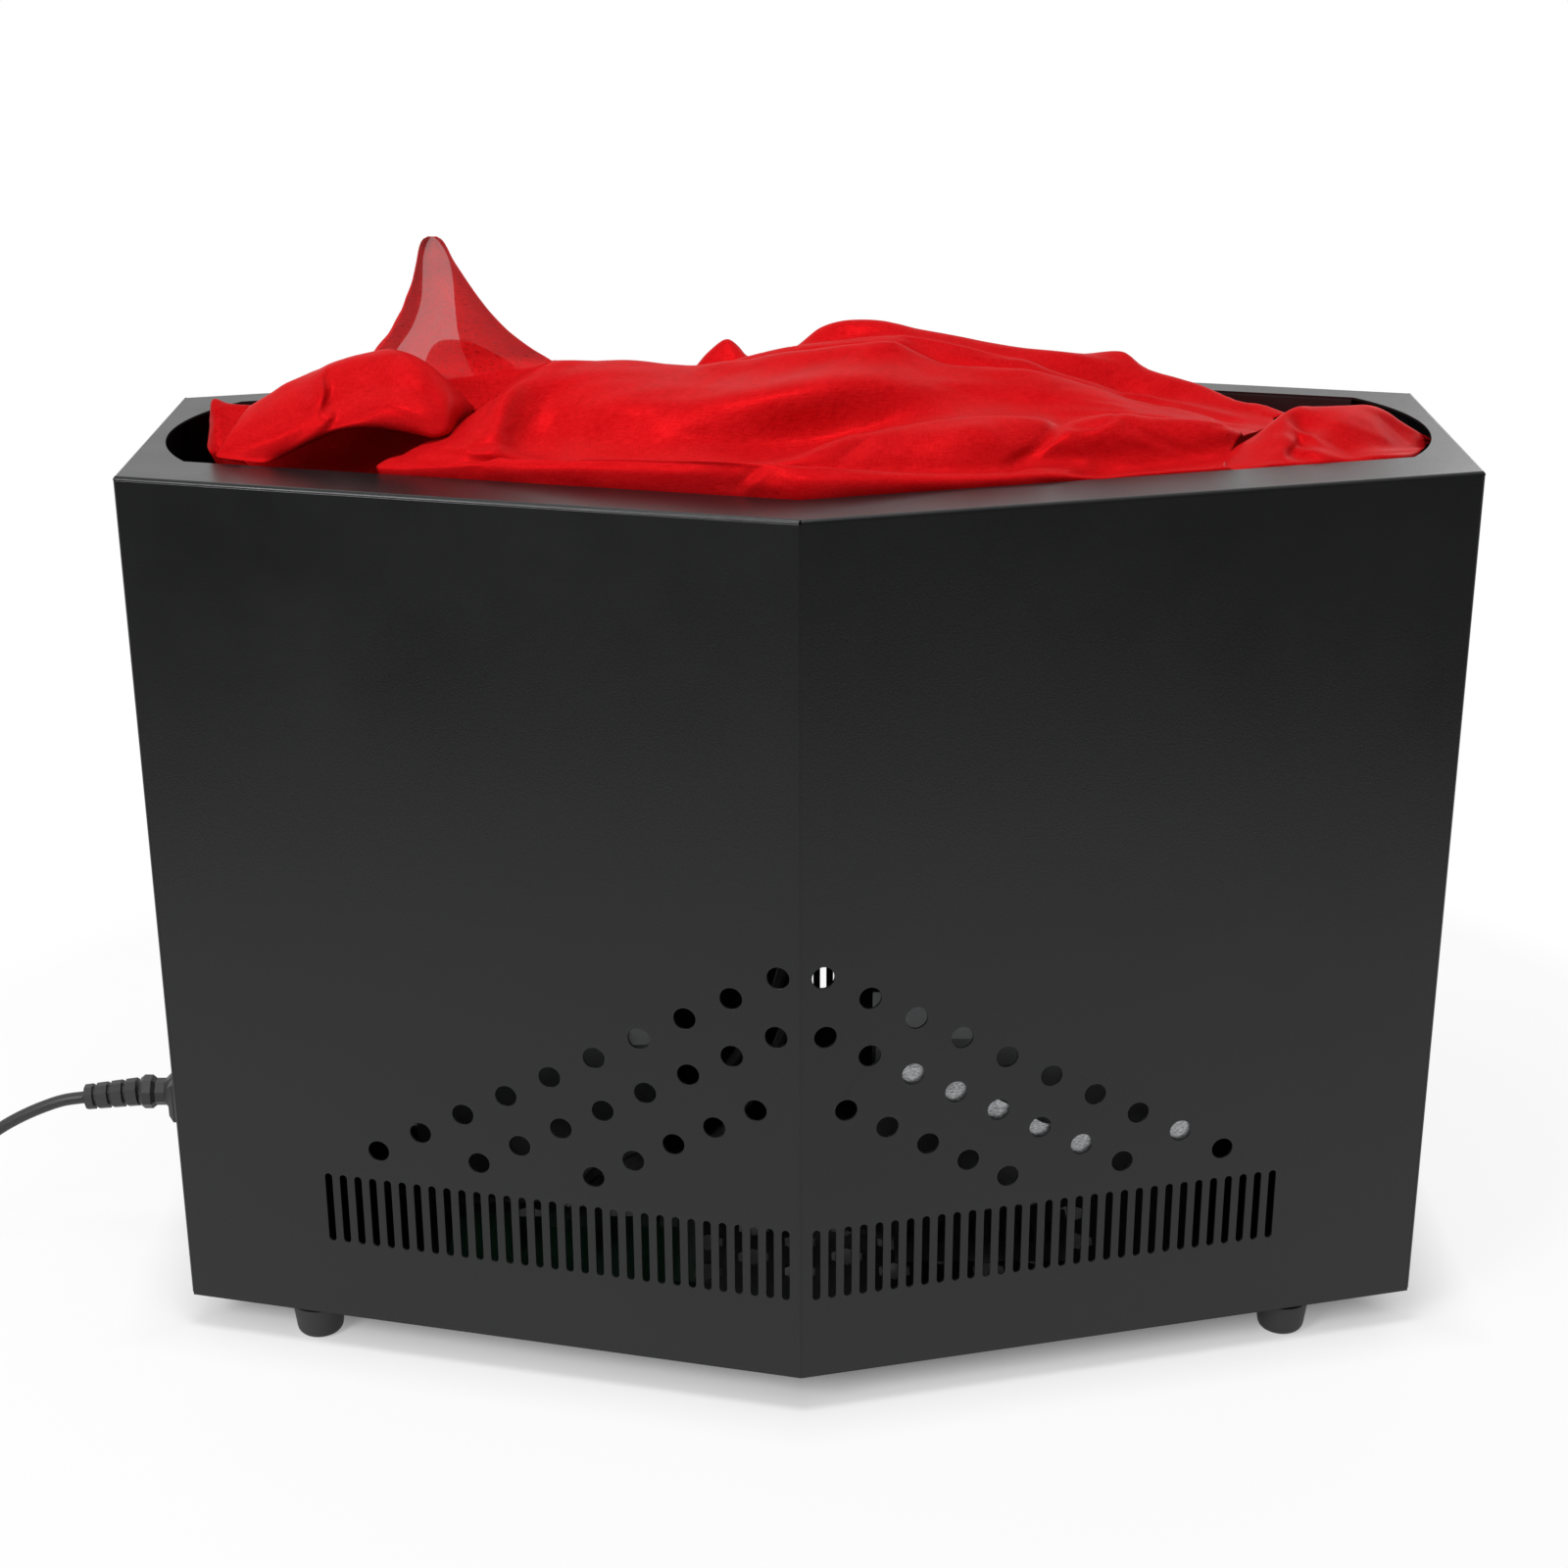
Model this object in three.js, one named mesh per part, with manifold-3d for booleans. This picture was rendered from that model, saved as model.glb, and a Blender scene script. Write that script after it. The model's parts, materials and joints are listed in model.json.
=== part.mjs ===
// Silk flame effect light: a six-sided steel housing that stands on four rubber feet. Four axial fans on a
// deck inside it blow up through a wide mouth in its top, where a sheet of red silk billows over LED bars.
// Millimetres. X runs along the housing, Y from its front to its back, Z up from the floor.
import * as THREE from "three";
import { mergeVertices } from "three/addons/utils/BufferGeometryUtils.js";
import Module from "manifold-3d";

const wasm = await Module();
wasm.setup();

// Driving dimensions of the housing
const LENGTH = 580;
const DEPTH = 287.4;
const END_WIDTH = 144;
const HEIGHT = 400;
const SHEET = 1.2;
const FOOT_HEIGHT = 19;

// Clearances that the pieces share
const SEAT_GAP = 0.3;
const CUT_OVERRUN = 2;

// The plan's slanted faces
const SLOPE = (DEPTH - END_WIDTH) / LENGTH;
const TURN = Math.atan(SLOPE);
const PANEL_LENGTH = LENGTH / 2 / Math.cos(TURN);

// Levels above the floor
const BASE_TOP = FOOT_HEIGHT + SHEET;
const PANEL_LOW = BASE_TOP + SEAT_GAP;
const TOP = PANEL_LOW + HEIGHT;
const PANEL_HIGH = TOP - SHEET - SEAT_GAP;

// Mouth: strips of the top frame left around it, measured along Y at the front and rear, along X at the ends
const mouth = {
  frontStrip: 31.1,
  rearStrip: 16.1,
  endStrip: 8,
  endRadius: 89,
  endCentreY: 5.4,
  endSteps: 10,
  lipDepth: 12,
};

// Vents of a slanted panel, measured from its ridge and its lower edge
const vents = {
  flange: 10,
  flangeSetback: 16,
  holeDiameter: 10,
  holeSides: 6,
};
const topHoles = { count: 10, ridgeGap: 9.98, pitch: 20.91, height: 197.9, drop: 12.03 };
const middleHoles = { count: 8, ridgeGap: 10.94, pitch: 19.83, height: 169.64, drop: 11.41 };
const lowHoles = { count: 5, ridgeGap: 20.35, pitch: 18.78, height: 133.02, drop: 10.78 };
const slots = { count: 31, ridgeGap: 7.05, pitch: 7.23, width: 3.5, height: 39, length: 35.6 };

// Base plate and its intake holes
const base = {
  inset: 0.5,
  holeDiameter: 17,
  holeSides: 6,
  columnPitch: 22.75,
  rowPitch: 27,
  columnsEachSide: 6,
  rowsEachSide: 2,
};

// Rubber feet and their screws
const foot = {
  fromEnd: 60,
  fromEdge: 15.8,
  topDiameter: 22.6,
  footDiameter: 18.6,
  edgeHeight: 2.6,
  edgeInset: 1.8,
  neckDiameter: 17.4,
  neckHeight: 2.4,
  recessDiameter: 10.4,
  recessDepth: 7,
  boreDiameter: 4.8,
  sides: 10,
};
const footScrew = { shank: 4, head: 8.4, headHeight: 2.6, nut: 7.6, nutHeight: 3.2, proud: 1.4, sides: 6 };

// Fan deck and the four axial fans on it
const deck = { height: 212, flange: 12, holeEdge: 4, airSides: 16, cableHole: 15, cableRidgeGap: 46 };
const fan = {
  count: 4,
  endClearance: 42.8,
  gap: 4,
  depth: 38,
  wall: 3,
  boreSides: 18,
  cornerRadius: 6,
  boss: 40,
  bossDepth: 7,
  strutWidth: 5,
  strutDepth: 4,
  struts: 4,
};
fan.size = (LENGTH - 2 * (SHEET + fan.endClearance) - (fan.count - 1) * fan.gap) / fan.count;
fan.bore = fan.size - 2 * fan.wall;
const rotor = {
  recess: 4,
  hub: 40,
  hubSides: 14,
  runningGap: 1,
  tipGap: 1.5,
  shaft: 4,
  shaftLength: 5,
  shaftGap: 0.4,
  blades: 5,
  chord: 40,
  bladeThickness: 1.8,
  pitchDegrees: 34,
  tipSides: 30,
};
const guard = { thickness: 2, margin: 6, bar: 2.4, windowsAlong: 8, windowsAcross: 2 };

// Silk rails under the rear lip, with the clamp bars that hold the hem against them
const rail = { thickness: 3, height: 14, topGap: 1, ridgeGap: 8, endGap: 110 };
const clamp = { thickness: 2, height: 10 };

// LED bars behind the front strip
const ledBar = {
  ridgeGap: 26,
  endGap: 46.7,
  height: 34,
  topGap: 26,
  web: 6,
  fins: 4,
  finLength: 10,
  finThickness: 2,
  board: 1.6,
  boardMargin: 3,
  lens: 6,
  lensEdge: 2,
};

// Silk: the solid stands for the cloth with its folds
const silk = {
  thickness: 2.6,
  lift: 5.6,
  hemLift: 2.2,
  overlap: 7,
  softEdge: 14,
  railHold: 8,
  rise: 83,
  peakFlat: 4,
  peakLeft: 14.5,
  peakRight: 24,
  peakAcross: 15,
  columnsLeft: 21,
  columnsRight: 23,
  rows: 12,
};

// Boxes in the lower compartment
const supply = { endGap: 90, y: 52, length: 160, width: 50, height: 84, lid: 1.5 };
supply.x = LENGTH / 2 - supply.endGap - supply.length / 2;
const driver = { endGap: 95, y: 58, length: 120, width: 42, height: 76, lid: 1.5, outletShare: 0.375 };
driver.x = driver.length / 2 + driver.endGap - LENGTH / 2;
const board = {
  x: -110,
  y: -46,
  length: 120,
  width: 60,
  thickness: 1.6,
  legHeight: 6,
  leg: 6,
  partHeight: 16,
  partLength: 22,
  partWidth: 14,
  partsAlong: 3,
};
const terminals = { x: 88, y: -36, length: 84, width: 22, height: 16, ways: 6, slot: 7, slotDepth: 5 };

// Power inlet, switch and fuse on the left end panel, heights above the panel's lower edge
const inlet = {
  height: 69.5,
  flangeWidth: 50,
  flangeHeight: 24,
  flange: 3,
  bodyWidth: 27.6,
  bodyHeight: 20.6,
  bodyDepth: 22,
  wall: 2,
  floor: 4,
  tab: 6,
  tabThickness: 1,
  tabLength: 8,
  tabPitch: 7,
};
const rocker = {
  y: 46,
  width: 9.6,
  length: 16,
  rise: 3,
  dip: 1.4,
  sink: 4,
  pivotDepth: 1.2,
  pin: 2.4,
  pinLength: 1.6,
  sides: 8,
  tiltDegrees: 8,
};
const switchBox = { width: 15, length: 23, bezel: 2, wall: 1.7, depth: 15, floor: 4, edge: 1.6, gap: 0.8 };
const fuse = {
  y: -46,
  flange: 16,
  flangeHeight: 2,
  body: 12,
  depth: 26,
  capHeight: 4,
  cap: 11,
  shank: 5,
  shankLength: 12,
  slotWidth: 1.6,
  slotDepth: 1.4,
  sides: 14,
};

// Lead connector and its strain relief, lengths measured outwards from the inlet's flange
const lead = {
  noseDepth: 15,
  bodyWidth: 27,
  bodyHeight: 20,
  bodyLength: 15,
  chamfer: 2.4,
  taper: 3,
  neck: 12.4,
  neckLength: 4.5,
  collar: 15.4,
  collarLength: 8,
  collarChamfer: 2,
  sides: 8,
};
const relief = {
  diameter: 14.1,
  tip: 12.6,
  length: 26,
  grooves: 3,
  groove: 2,
  core: 9.6,
  end: 4,
  droopDegrees: 6.5,
};

// Power cord: the free stretch, the coil that the rest is put away in, and the plug at its far end
const cord = { diameter: 6, sides: 8, step: 14, run: 147.3, tailRun: 44 };
const coil = {
  middleRadius: 34,
  turns: 7.25,
  gap: 0.7,
  stepsPerTurn: 22,
  sides: 6,
};
const tie = { thickness: 1.2, width: 8, slack: 0.5 };
const plug = {
  width: 27,
  height: 25,
  length: 36,
  chamfer: 4,
  relief: 11,
  reliefTip: 8.4,
  reliefLength: 22,
  bladeSpacing: 12.7,
  blade: 6.3,
  bladeThickness: 1.5,
  bladeLength: 16,
  earth: 4.8,
  earthLength: 18,
  earthDrop: 8,
  sides: 10,
};
const wire = { diameter: 5, sides: 6, step: 18, stub: 7, endGap: 0.7 };

// Route of the power cord: shares of its run out from the strain relief and of its fall to the floor
const cordShares = [
  [0, 0],
  [0.079, 0.022],
  [0.16, 0.074],
  [0.235, 0.138],
  [0.303, 0.211],
  [0.384, 0.32],
  [0.466, 0.45],
  [0.541, 0.592],
  [0.615, 0.735],
  [0.697, 0.866],
  [0.79, 0.96],
  [0.9, 0.996],
  [1, 1],
];
// Route of the cord's tail to the plug: shares of its run and of its rise
const tailShares = [
  [0, 0],
  [0.22, 0.08],
  [0.49, 0.54],
  [0.76, 0.92],
  [1, 1],
];
// Routes of the wiring: shares of the housing's half length, half depth and height
const mainsShares = [
  [-0.84, 0.025, 0.16],
  [-0.8, 0.055, 0.1],
  [-0.75, 0.055, 0.045],
  [-0.676, 0.042, 0.0175],
  [-0.414, 0.028, 0.0155],
  [-0.138, 0.014, 0.0155],
  [0, -0.056, 0.018],
  [0.076, -0.18, 0.02],
  [0.117, -0.24, 0.0213],
];
const fanShares = [
  [-0.29, 0.431, 0.244],
  [-0.207, 0.515, 0.324],
  [-0.09, 0.612, 0.414],
  [-0.014, 0.668, 0.489],
  [0, 0.675, 0.549],
  [-0.021, 0.612, 0.589],
  [-0.069, 0.515, 0.604],
];
const ledLeftShares = [
  [-0.338, -0.404, 0.139],
  [-0.186, -0.585, 0.249],
  [-0.055, -0.675, 0.399],
  [-0.011, -0.68, 0.504],
  [-0.011, -0.68, 0.579],
  [-0.017, -0.752, 0.699],
  [-0.021, -0.842, 0.809],
  [-0.029, -0.88, 0.864],
];
const ledRightShares = [
  [-0.207, -0.404, 0.139],
  [-0.103, -0.585, 0.249],
  [-0.014, -0.668, 0.399],
  [0.011, -0.68, 0.504],
  [0.011, -0.68, 0.579],
  [0.017, -0.752, 0.699],
  [0.021, -0.842, 0.809],
  [0.029, -0.88, 0.864],
];

// Hems of the silk: shares of the mouth's half length, then how far back and forward the cloth reaches
// there, as shares of the half depth
const hemShares = [
  { along: -0.911, rear: 0.05, front: -0.05 },
  { along: -0.87, rear: 0.24, front: -0.34 },
  { along: -0.76, rear: 0.42, front: -0.46 },
  { along: -0.67, rear: 0.6, front: -0.5 },
  { along: -0.57, rear: 0.7, front: -0.56 },
  { along: 0.46, rear: 0.7, front: -0.6 },
  { along: 0.66, rear: 0.6, front: -0.5 },
  { along: 0.74, rear: 0.4, front: -0.44 },
  { along: 0.82, rear: 0.24, front: -0.36 },
  { along: 0.93, rear: 0.1, front: -0.27 },
  { along: 0.993, rear: -0.08, front: -0.13 },
];
// The stretch where the front hem lies on the top frame
const restShares = { from: -0.54, to: 0.44 };

// Ridges of the silk's folds: each point's place as shares of the mouth's half length and half depth, and
// its height as a share of the silk's rise, with the fold's half width as a share of the half depth
const foldShares = [
  {
    width: 0.2,
    ridge: [[-0.92, -0.06, 0.08], [-0.8, -0.16, 0.28], [-0.67, -0.2, 0.4], [-0.58, -0.2, 0.34],
      [-0.49, -0.22, 0.12]],
  },
  {
    width: 0.3,
    ridge: [[-0.46, -0.2, 0.12], [-0.37, -0.14, 0.27], [-0.28, -0.06, 0.33], [-0.17, 0.02, 0.31],
      [0, 0.16, 0.37]],
  },
  {
    width: 0.34,
    ridge: [[0, 0.16, 0.37], [0.09, 0.3, 0.44], [0.28, 0.32, 0.35], [0.46, 0.34, 0.26],
      [0.62, 0.36, 0.12], [0.72, 0.36, 0.02]],
  },
  {
    width: 0.09,
    ridge: [[-0.53, -0.66, 0.06], [-0.3, -0.78, 0.12], [-0.06, -0.86, 0.1], [0.16, -0.82, 0.1],
      [0.4, -0.72, 0.06]],
  },
  {
    width: 0.13,
    ridge: [[0.03, -0.7, 0.06], [0.17, -0.5, 0.16], [0.33, -0.4, 0.18], [0.48, -0.34, 0.16]],
  },
  {
    width: 0.1,
    ridge: [[0.53, -0.5, 0.05], [0.64, -0.36, 0.15], [0.73, -0.16, 0.2], [0.79, 0, 0.18]],
  },
  { width: 0.16, ridge: [[0.8, 0.02, 0.17], [0.88, 0.01, 0.16], [0.95, -0.06, 0.06]] },
  { width: 0.1, ridge: [[-0.125, 0.25, 0.34], [-0.1, 0.27, 0.46], [-0.075, 0.25, 0.34]] },
  { width: 0.12, ridge: [[0.44, 0.38, 0.28], [0.53, 0.38, 0.27]] },
];
const peakShares = { along: -0.564, across: 0.125 };

// Finishes, as [colour, roughness, metalness]
const finishes = {
  powderCoat: [0x232324, 0.5, 0.2],
  galvanised: [0x9a9c9e, 0.45, 0.8],
  aluminium: [0xb4b6b8, 0.4, 0.9],
  zincPlated: [0xb9b7ae, 0.35, 0.9],
  rubber: [0x1c1c1d, 0.85, 0],
  blackPlastic: [0x18181a, 0.5, 0],
  cordSheath: [0x1b1b1c, 0.6, 0],
  redSilk: [0xd8101a, 0.45, 0],
  circuitBoard: [0x14452c, 0.55, 0],
  ledBoard: [0xe6e6e2, 0.5, 0],
  clearLens: [0xf2f4f4, 0.12, 0],
};

const light = new THREE.Group();

// Adds one named piece to a group, with a material of its own.
function addPart(group, name, geometry, finish) {
  const [color, roughness, metalness] = finishes[finish];
  const mesh = new THREE.Mesh(geometry, new THREE.MeshStandardMaterial({ color, roughness, metalness }));
  mesh.name = name;
  group.add(mesh);
  return mesh;
}

// A closed geometry as a solid for joining and cutting.
function solidOf(geometry) {
  const bare = geometry.index ? geometry.toNonIndexed() : geometry.clone();
  bare.deleteAttribute("normal");
  bare.deleteAttribute("uv");
  const merged = mergeVertices(bare, 1e-4);
  return new wasm.Manifold(
    new wasm.Mesh({
      numProp: 3,
      vertProperties: new Float32Array(merged.attributes.position.array),
      triVerts: new Uint32Array(merged.index.array),
    }),
  );
}

function geometryOf(solid) {
  const made = solid.getMesh();
  const geometry = new THREE.BufferGeometry();
  geometry.setAttribute("position", new THREE.BufferAttribute(new Float32Array(made.vertProperties), 3));
  geometry.setIndex(new THREE.BufferAttribute(new Uint32Array(made.triVerts), 1));
  return geometry;
}

function join(...pieces) {
  return geometryOf(pieces.map(solidOf).reduce((whole, piece) => whole.add(piece)));
}

function cut(body, ...tools) {
  return geometryOf(tools.map(solidOf).reduce((left, tool) => left.subtract(tool), solidOf(body)));
}

function boxBetween(low, high) {
  const size = high.map((value, axis) => value - low[axis]);
  const centre = high.map((value, axis) => (value + low[axis]) / 2);
  return new THREE.BoxGeometry(...size).translate(...centre);
}

// A flat shape given thickness upwards from a level.
function slab(shape, low, high, curveSegments = 12) {
  const depth = high - low;
  const geometry = new THREE.ExtrudeGeometry(shape, { depth, bevelEnabled: false, curveSegments });
  return geometry.translate(0, 0, low);
}

// A round post along Z from one level to another.
function post(diameter, low, high, sides) {
  const radius = diameter / 2;
  const geometry = new THREE.CylinderGeometry(radius, radius, high - low, sides);
  return geometry.rotateX(Math.PI / 2).translate(0, 0, (low + high) / 2);
}

// A turned piece about Z from [radius, height] points that run from the axis round to the axis.
function turned(points, sides) {
  const profile = points.map(([radius, height]) => new THREE.Vector2(radius, height));
  return new THREE.LatheGeometry(profile, sides).rotateX(Math.PI / 2);
}

function polygonPath(centreX, centreY, diameter, sides) {
  const points = [];
  const radius = diameter / 2;
  for (let i = 0; i < sides; i++) {
    const angle = ((i + 0.5) / sides) * 2 * Math.PI;
    points.push(
      new THREE.Vector2(centreX + radius * Math.cos(angle), centreY + radius * Math.sin(angle)),
    );
  }
  return new THREE.Path(points);
}

function rectanglePath(lowX, highX, lowY, highY) {
  return new THREE.Path([
    new THREE.Vector2(lowX, lowY),
    new THREE.Vector2(highX, lowY),
    new THREE.Vector2(highX, highY),
    new THREE.Vector2(lowX, highY),
  ]);
}

function rectangle(lowX, highX, lowY, highY) {
  return new THREE.Shape(rectanglePath(lowX, highX, lowY, highY).getPoints());
}

// A tube of even section along a curve.
function tube(curve, diameter, sides, steps) {
  const section = new THREE.Shape(polygonPath(0, 0, diameter, sides).getPoints());
  return new THREE.ExtrudeGeometry(section, { steps, bevelEnabled: false, extrudePath: curve });
}

function routeOf(points) {
  const places = points.map((point) => new THREE.Vector3(...point));
  return new THREE.CatmullRomCurve3(places, false, "centripetal");
}

function tubeAlong(points, { diameter, sides, step }) {
  const curve = routeOf(points);
  return tube(curve, diameter, sides, Math.ceil(curve.getLength() / step));
}

// Y of a slanted face, or of a line set in from it, on the rear side of the plan.
function edgeY(x, inset = 0) {
  return DEPTH / 2 - SLOPE * Math.abs(x) - inset / Math.cos(TURN);
}

// The plan's outline, set in by a distance.
function hexagon(inset) {
  const halfLength = LENGTH / 2 - inset;
  const corner = edgeY(halfLength, inset);
  const ridge = edgeY(0, inset);
  return new THREE.Shape([
    new THREE.Vector2(-halfLength, -corner),
    new THREE.Vector2(0, -ridge),
    new THREE.Vector2(halfLength, -corner),
    new THREE.Vector2(halfLength, corner),
    new THREE.Vector2(0, ridge),
    new THREE.Vector2(-halfLength, corner),
  ]);
}

// The four slanted faces. In a face's own frame X runs along it from the ridge, Y into the housing, and
// hand says which way along X the panel lies.
const faces = {
  front_left: { turn: -TURN, side: -1, hand: -1 },
  front_right: { turn: TURN, side: -1, hand: 1 },
  rear_left: { turn: Math.PI + TURN, side: 1, hand: 1 },
  rear_right: { turn: Math.PI - TURN, side: 1, hand: -1 },
};
for (const face of Object.values(faces)) {
  face.group = new THREE.Group();
  face.group.position.set(0, (face.side * DEPTH) / 2, 0);
  face.group.rotation.z = face.turn;
  face.group.updateMatrix();
  light.add(face.group);
}

// Distance along a face, from its ridge, of the point with this X on a line set in from it.
function alongFace(x, inset) {
  return (x + inset * Math.sin(TURN)) / Math.cos(TURN);
}

// A box in a face's frame, from one distance along the face to another.
function faceBox(face, fromRidge, toEnd, inner, outer, low, high) {
  const ends = [fromRidge * face.hand, toEnd * face.hand].sort((a, b) => a - b);
  return boxBetween([ends[0], inner, low], [ends[1], outer, high]);
}

// Cutters for holes through a wall of sheet that stands along X: a round hole and a slot.
function roundCutter(x, level, diameter, sides) {
  const cutter = post(diameter, -SHEET - CUT_OVERRUN, CUT_OVERRUN, sides);
  return cutter.rotateX(Math.PI / 2).translate(x, 0, level);
}

function slotCutter(lowX, highX, low, high) {
  return boxBetween([lowX, -CUT_OVERRUN, low], [highX, SHEET + CUT_OVERRUN, high]);
}

function slantedPanel(face) {
  const start = SHEET * Math.tan(TURN) + SEAT_GAP / 2;
  const cutters = [];
  for (const row of [topHoles, middleHoles, lowHoles]) {
    for (let i = 0; i < row.count; i++) {
      const along = (row.ridgeGap + row.pitch * i) * face.hand;
      const level = PANEL_LOW + row.height - row.drop * i;
      cutters.push(roundCutter(along, level, vents.holeDiameter, vents.holeSides));
    }
  }
  for (let i = 0; i < slots.count; i++) {
    const along = (slots.ridgeGap + slots.pitch * i) * face.hand;
    const half = slots.width / 2;
    const low = PANEL_LOW + slots.height;
    cutters.push(slotCutter(along - half, along + half, low, low + slots.length));
  }
  const wall = faceBox(face, start, PANEL_LENGTH, 0, SHEET, PANEL_LOW, PANEL_HIGH);
  const flange = faceBox(
    face,
    vents.flangeSetback,
    PANEL_LENGTH - vents.flangeSetback,
    SHEET / 2,
    vents.flange,
    PANEL_LOW,
    PANEL_LOW + SHEET,
  );
  return cut(join(wall, flange), ...cutters);
}

for (const [name, face] of Object.entries(faces)) {
  addPart(face.group, name + "_panel", slantedPanel(face), "powderCoat");
}

// End panels: half their width is what the slanted panels leave between them.
const endHalfWidth = edgeY(LENGTH / 2, SHEET) - SEAT_GAP;
function endPanel(side, cutters) {
  const wall = boxBetween([-endHalfWidth, 0, PANEL_LOW], [endHalfWidth, SHEET, PANEL_HIGH]);
  const flangeHalf = endHalfWidth - vents.flangeSetback;
  const flange = boxBetween(
    [-flangeHalf, SHEET / 2, PANEL_LOW],
    [flangeHalf, vents.flange, PANEL_LOW + SHEET],
  );
  const panel = join(wall, flange);
  const whole = cutters.length ? cut(panel, ...cutters) : panel;
  return whole.rotateZ((side * Math.PI) / 2).translate((side * LENGTH) / 2, 0, 0);
}

// Top frame with its mouth and the lip turned down along the mouth's straight edges
const frontInset = mouth.frontStrip * Math.cos(TURN);
const rearInset = mouth.rearStrip * Math.cos(TURN);
const mouthReach = LENGTH / 2 - mouth.endStrip;
const endCentreX = mouthReach - mouth.endRadius;

// X where the mouth's rounded end meets a straight edge.
function cornerX(side, inset) {
  const offset = edgeY(0, inset) - side * mouth.endCentreY;
  const a = 1 + SLOPE * SLOPE;
  const b = -2 * (endCentreX + SLOPE * offset);
  const c = endCentreX * endCentreX + offset * offset - mouth.endRadius * mouth.endRadius;
  return (-b + Math.sqrt(b * b - 4 * a * c)) / (2 * a);
}
const frontCornerX = cornerX(-1, frontInset);
const rearCornerX = cornerX(1, rearInset);

function mouthPath() {
  const right = [];
  const start = Math.atan2(-edgeY(frontCornerX, frontInset) - mouth.endCentreY, frontCornerX - endCentreX);
  const end = Math.atan2(edgeY(rearCornerX, rearInset) - mouth.endCentreY, rearCornerX - endCentreX);
  for (let i = 0; i <= mouth.endSteps; i++) {
    const angle = start + ((end - start) * i) / mouth.endSteps;
    right.push([
      endCentreX + mouth.endRadius * Math.cos(angle),
      mouth.endCentreY + mouth.endRadius * Math.sin(angle),
    ]);
  }
  const left = right.map(([x, y]) => [-x, y]).reverse();
  const points = [[0, -edgeY(0, frontInset)], ...right, [0, edgeY(0, rearInset)], ...left];
  return new THREE.Path(points.map(([x, y]) => new THREE.Vector2(x, y)));
}

function topFrame() {
  const outline = hexagon(0);
  outline.holes.push(mouthPath());
  const lips = Object.values(faces).map((face) => {
    const inset = face.side < 0 ? frontInset : rearInset;
    const end = face.side < 0 ? frontCornerX : rearCornerX;
    const lip = faceBox(
      face,
      alongFace(0, inset) - SHEET * Math.tan(TURN),
      alongFace(end, inset) - SHEET,
      inset - SHEET,
      inset,
      TOP - mouth.lipDepth,
      TOP - SHEET / 2,
    );
    return lip.applyMatrix4(face.group.matrix);
  });
  return join(slab(outline, TOP - SHEET, TOP), ...lips);
}
addPart(light, "top_frame", topFrame(), "powderCoat");

// Feet, their screws and the base plate that they carry
const footX = LENGTH / 2 - foot.fromEnd;
const footY = edgeY(footX) - foot.fromEdge;
const corners = { front_left: [-1, -1], front_right: [1, -1], rear_left: [-1, 1], rear_right: [1, 1] };

// A cutter for a round hole through a level sheet whose underside is at this level.
function levelCutter(x, y, diameter, sides, level) {
  return post(diameter, level - CUT_OVERRUN, level + SHEET + CUT_OVERRUN, sides).translate(x, y, 0);
}

function basePlate() {
  const cutters = [];
  for (let column = -base.columnsEachSide; column <= base.columnsEachSide; column++) {
    const shift = column % 2 ? 0.5 : 0;
    for (let row = -base.rowsEachSide; row <= base.rowsEachSide - 2 * shift; row++) {
      const [x, y] = [column * base.columnPitch, (row + shift) * base.rowPitch];
      cutters.push(levelCutter(x, y, base.holeDiameter, base.holeSides, FOOT_HEIGHT));
    }
  }
  for (const [sideX, sideY] of Object.values(corners)) {
    cutters.push(levelCutter(sideX * footX, sideY * footY, foot.boreDiameter, base.holeSides, FOOT_HEIGHT));
  }
  return cut(slab(hexagon(base.inset), FOOT_HEIGHT, BASE_TOP), ...cutters);
}
addPart(light, "base_plate", basePlate(), "powderCoat");

function rubberFoot() {
  const top = FOOT_HEIGHT - SEAT_GAP;
  const bore = foot.boreDiameter / 2;
  const neck = top - foot.neckHeight;
  const bottom = foot.footDiameter / 2;
  return turned(
    [
      [foot.recessDiameter / 2, 0],
      [bottom - foot.edgeInset, 0],
      [bottom, foot.edgeHeight],
      [foot.topDiameter / 2, neck],
      [foot.neckDiameter / 2, neck],
      [foot.neckDiameter / 2, top],
      [bore, top],
      [bore, foot.recessDepth],
      [foot.recessDiameter / 2, foot.recessDepth],
      [foot.recessDiameter / 2, 0],
    ],
    foot.sides,
  );
}

// The screw's head sits up in the foot's recess and its nut on the base plate.
function screwWithNut() {
  const seat = foot.recessDepth - SEAT_GAP;
  const nutLow = BASE_TOP + SEAT_GAP;
  const nutHigh = nutLow + footScrew.nutHeight;
  return turned(
    [
      [0, seat - footScrew.headHeight],
      [footScrew.head / 2, seat - footScrew.headHeight],
      [footScrew.head / 2, seat],
      [footScrew.shank / 2, seat],
      [footScrew.shank / 2, nutLow],
      [footScrew.nut / 2, nutLow],
      [footScrew.nut / 2, nutHigh],
      [footScrew.shank / 2, nutHigh],
      [footScrew.shank / 2, nutHigh + footScrew.proud],
      [0, nutHigh + footScrew.proud],
    ],
    footScrew.sides,
  );
}
for (const [name, [sideX, sideY]] of Object.entries(corners)) {
  const corner = new THREE.Group();
  corner.position.set(sideX * footX, sideY * footY, 0);
  light.add(corner);
  addPart(corner, "foot_" + name, rubberFoot(), "rubber");
  addPart(corner, "foot_screw_" + name, screwWithNut(), "zincPlated");
}

// Fan deck with its air holes and the flange turned up along the slanted panels
const deckLow = PANEL_LOW + deck.height;
const deckTop = deckLow + SHEET;
const deckInset = SHEET + SEAT_GAP;
const fanPitch = fan.size + fan.gap;
const fanX = (index) => (index - (fan.count - 1) / 2) * fanPitch;

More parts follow.
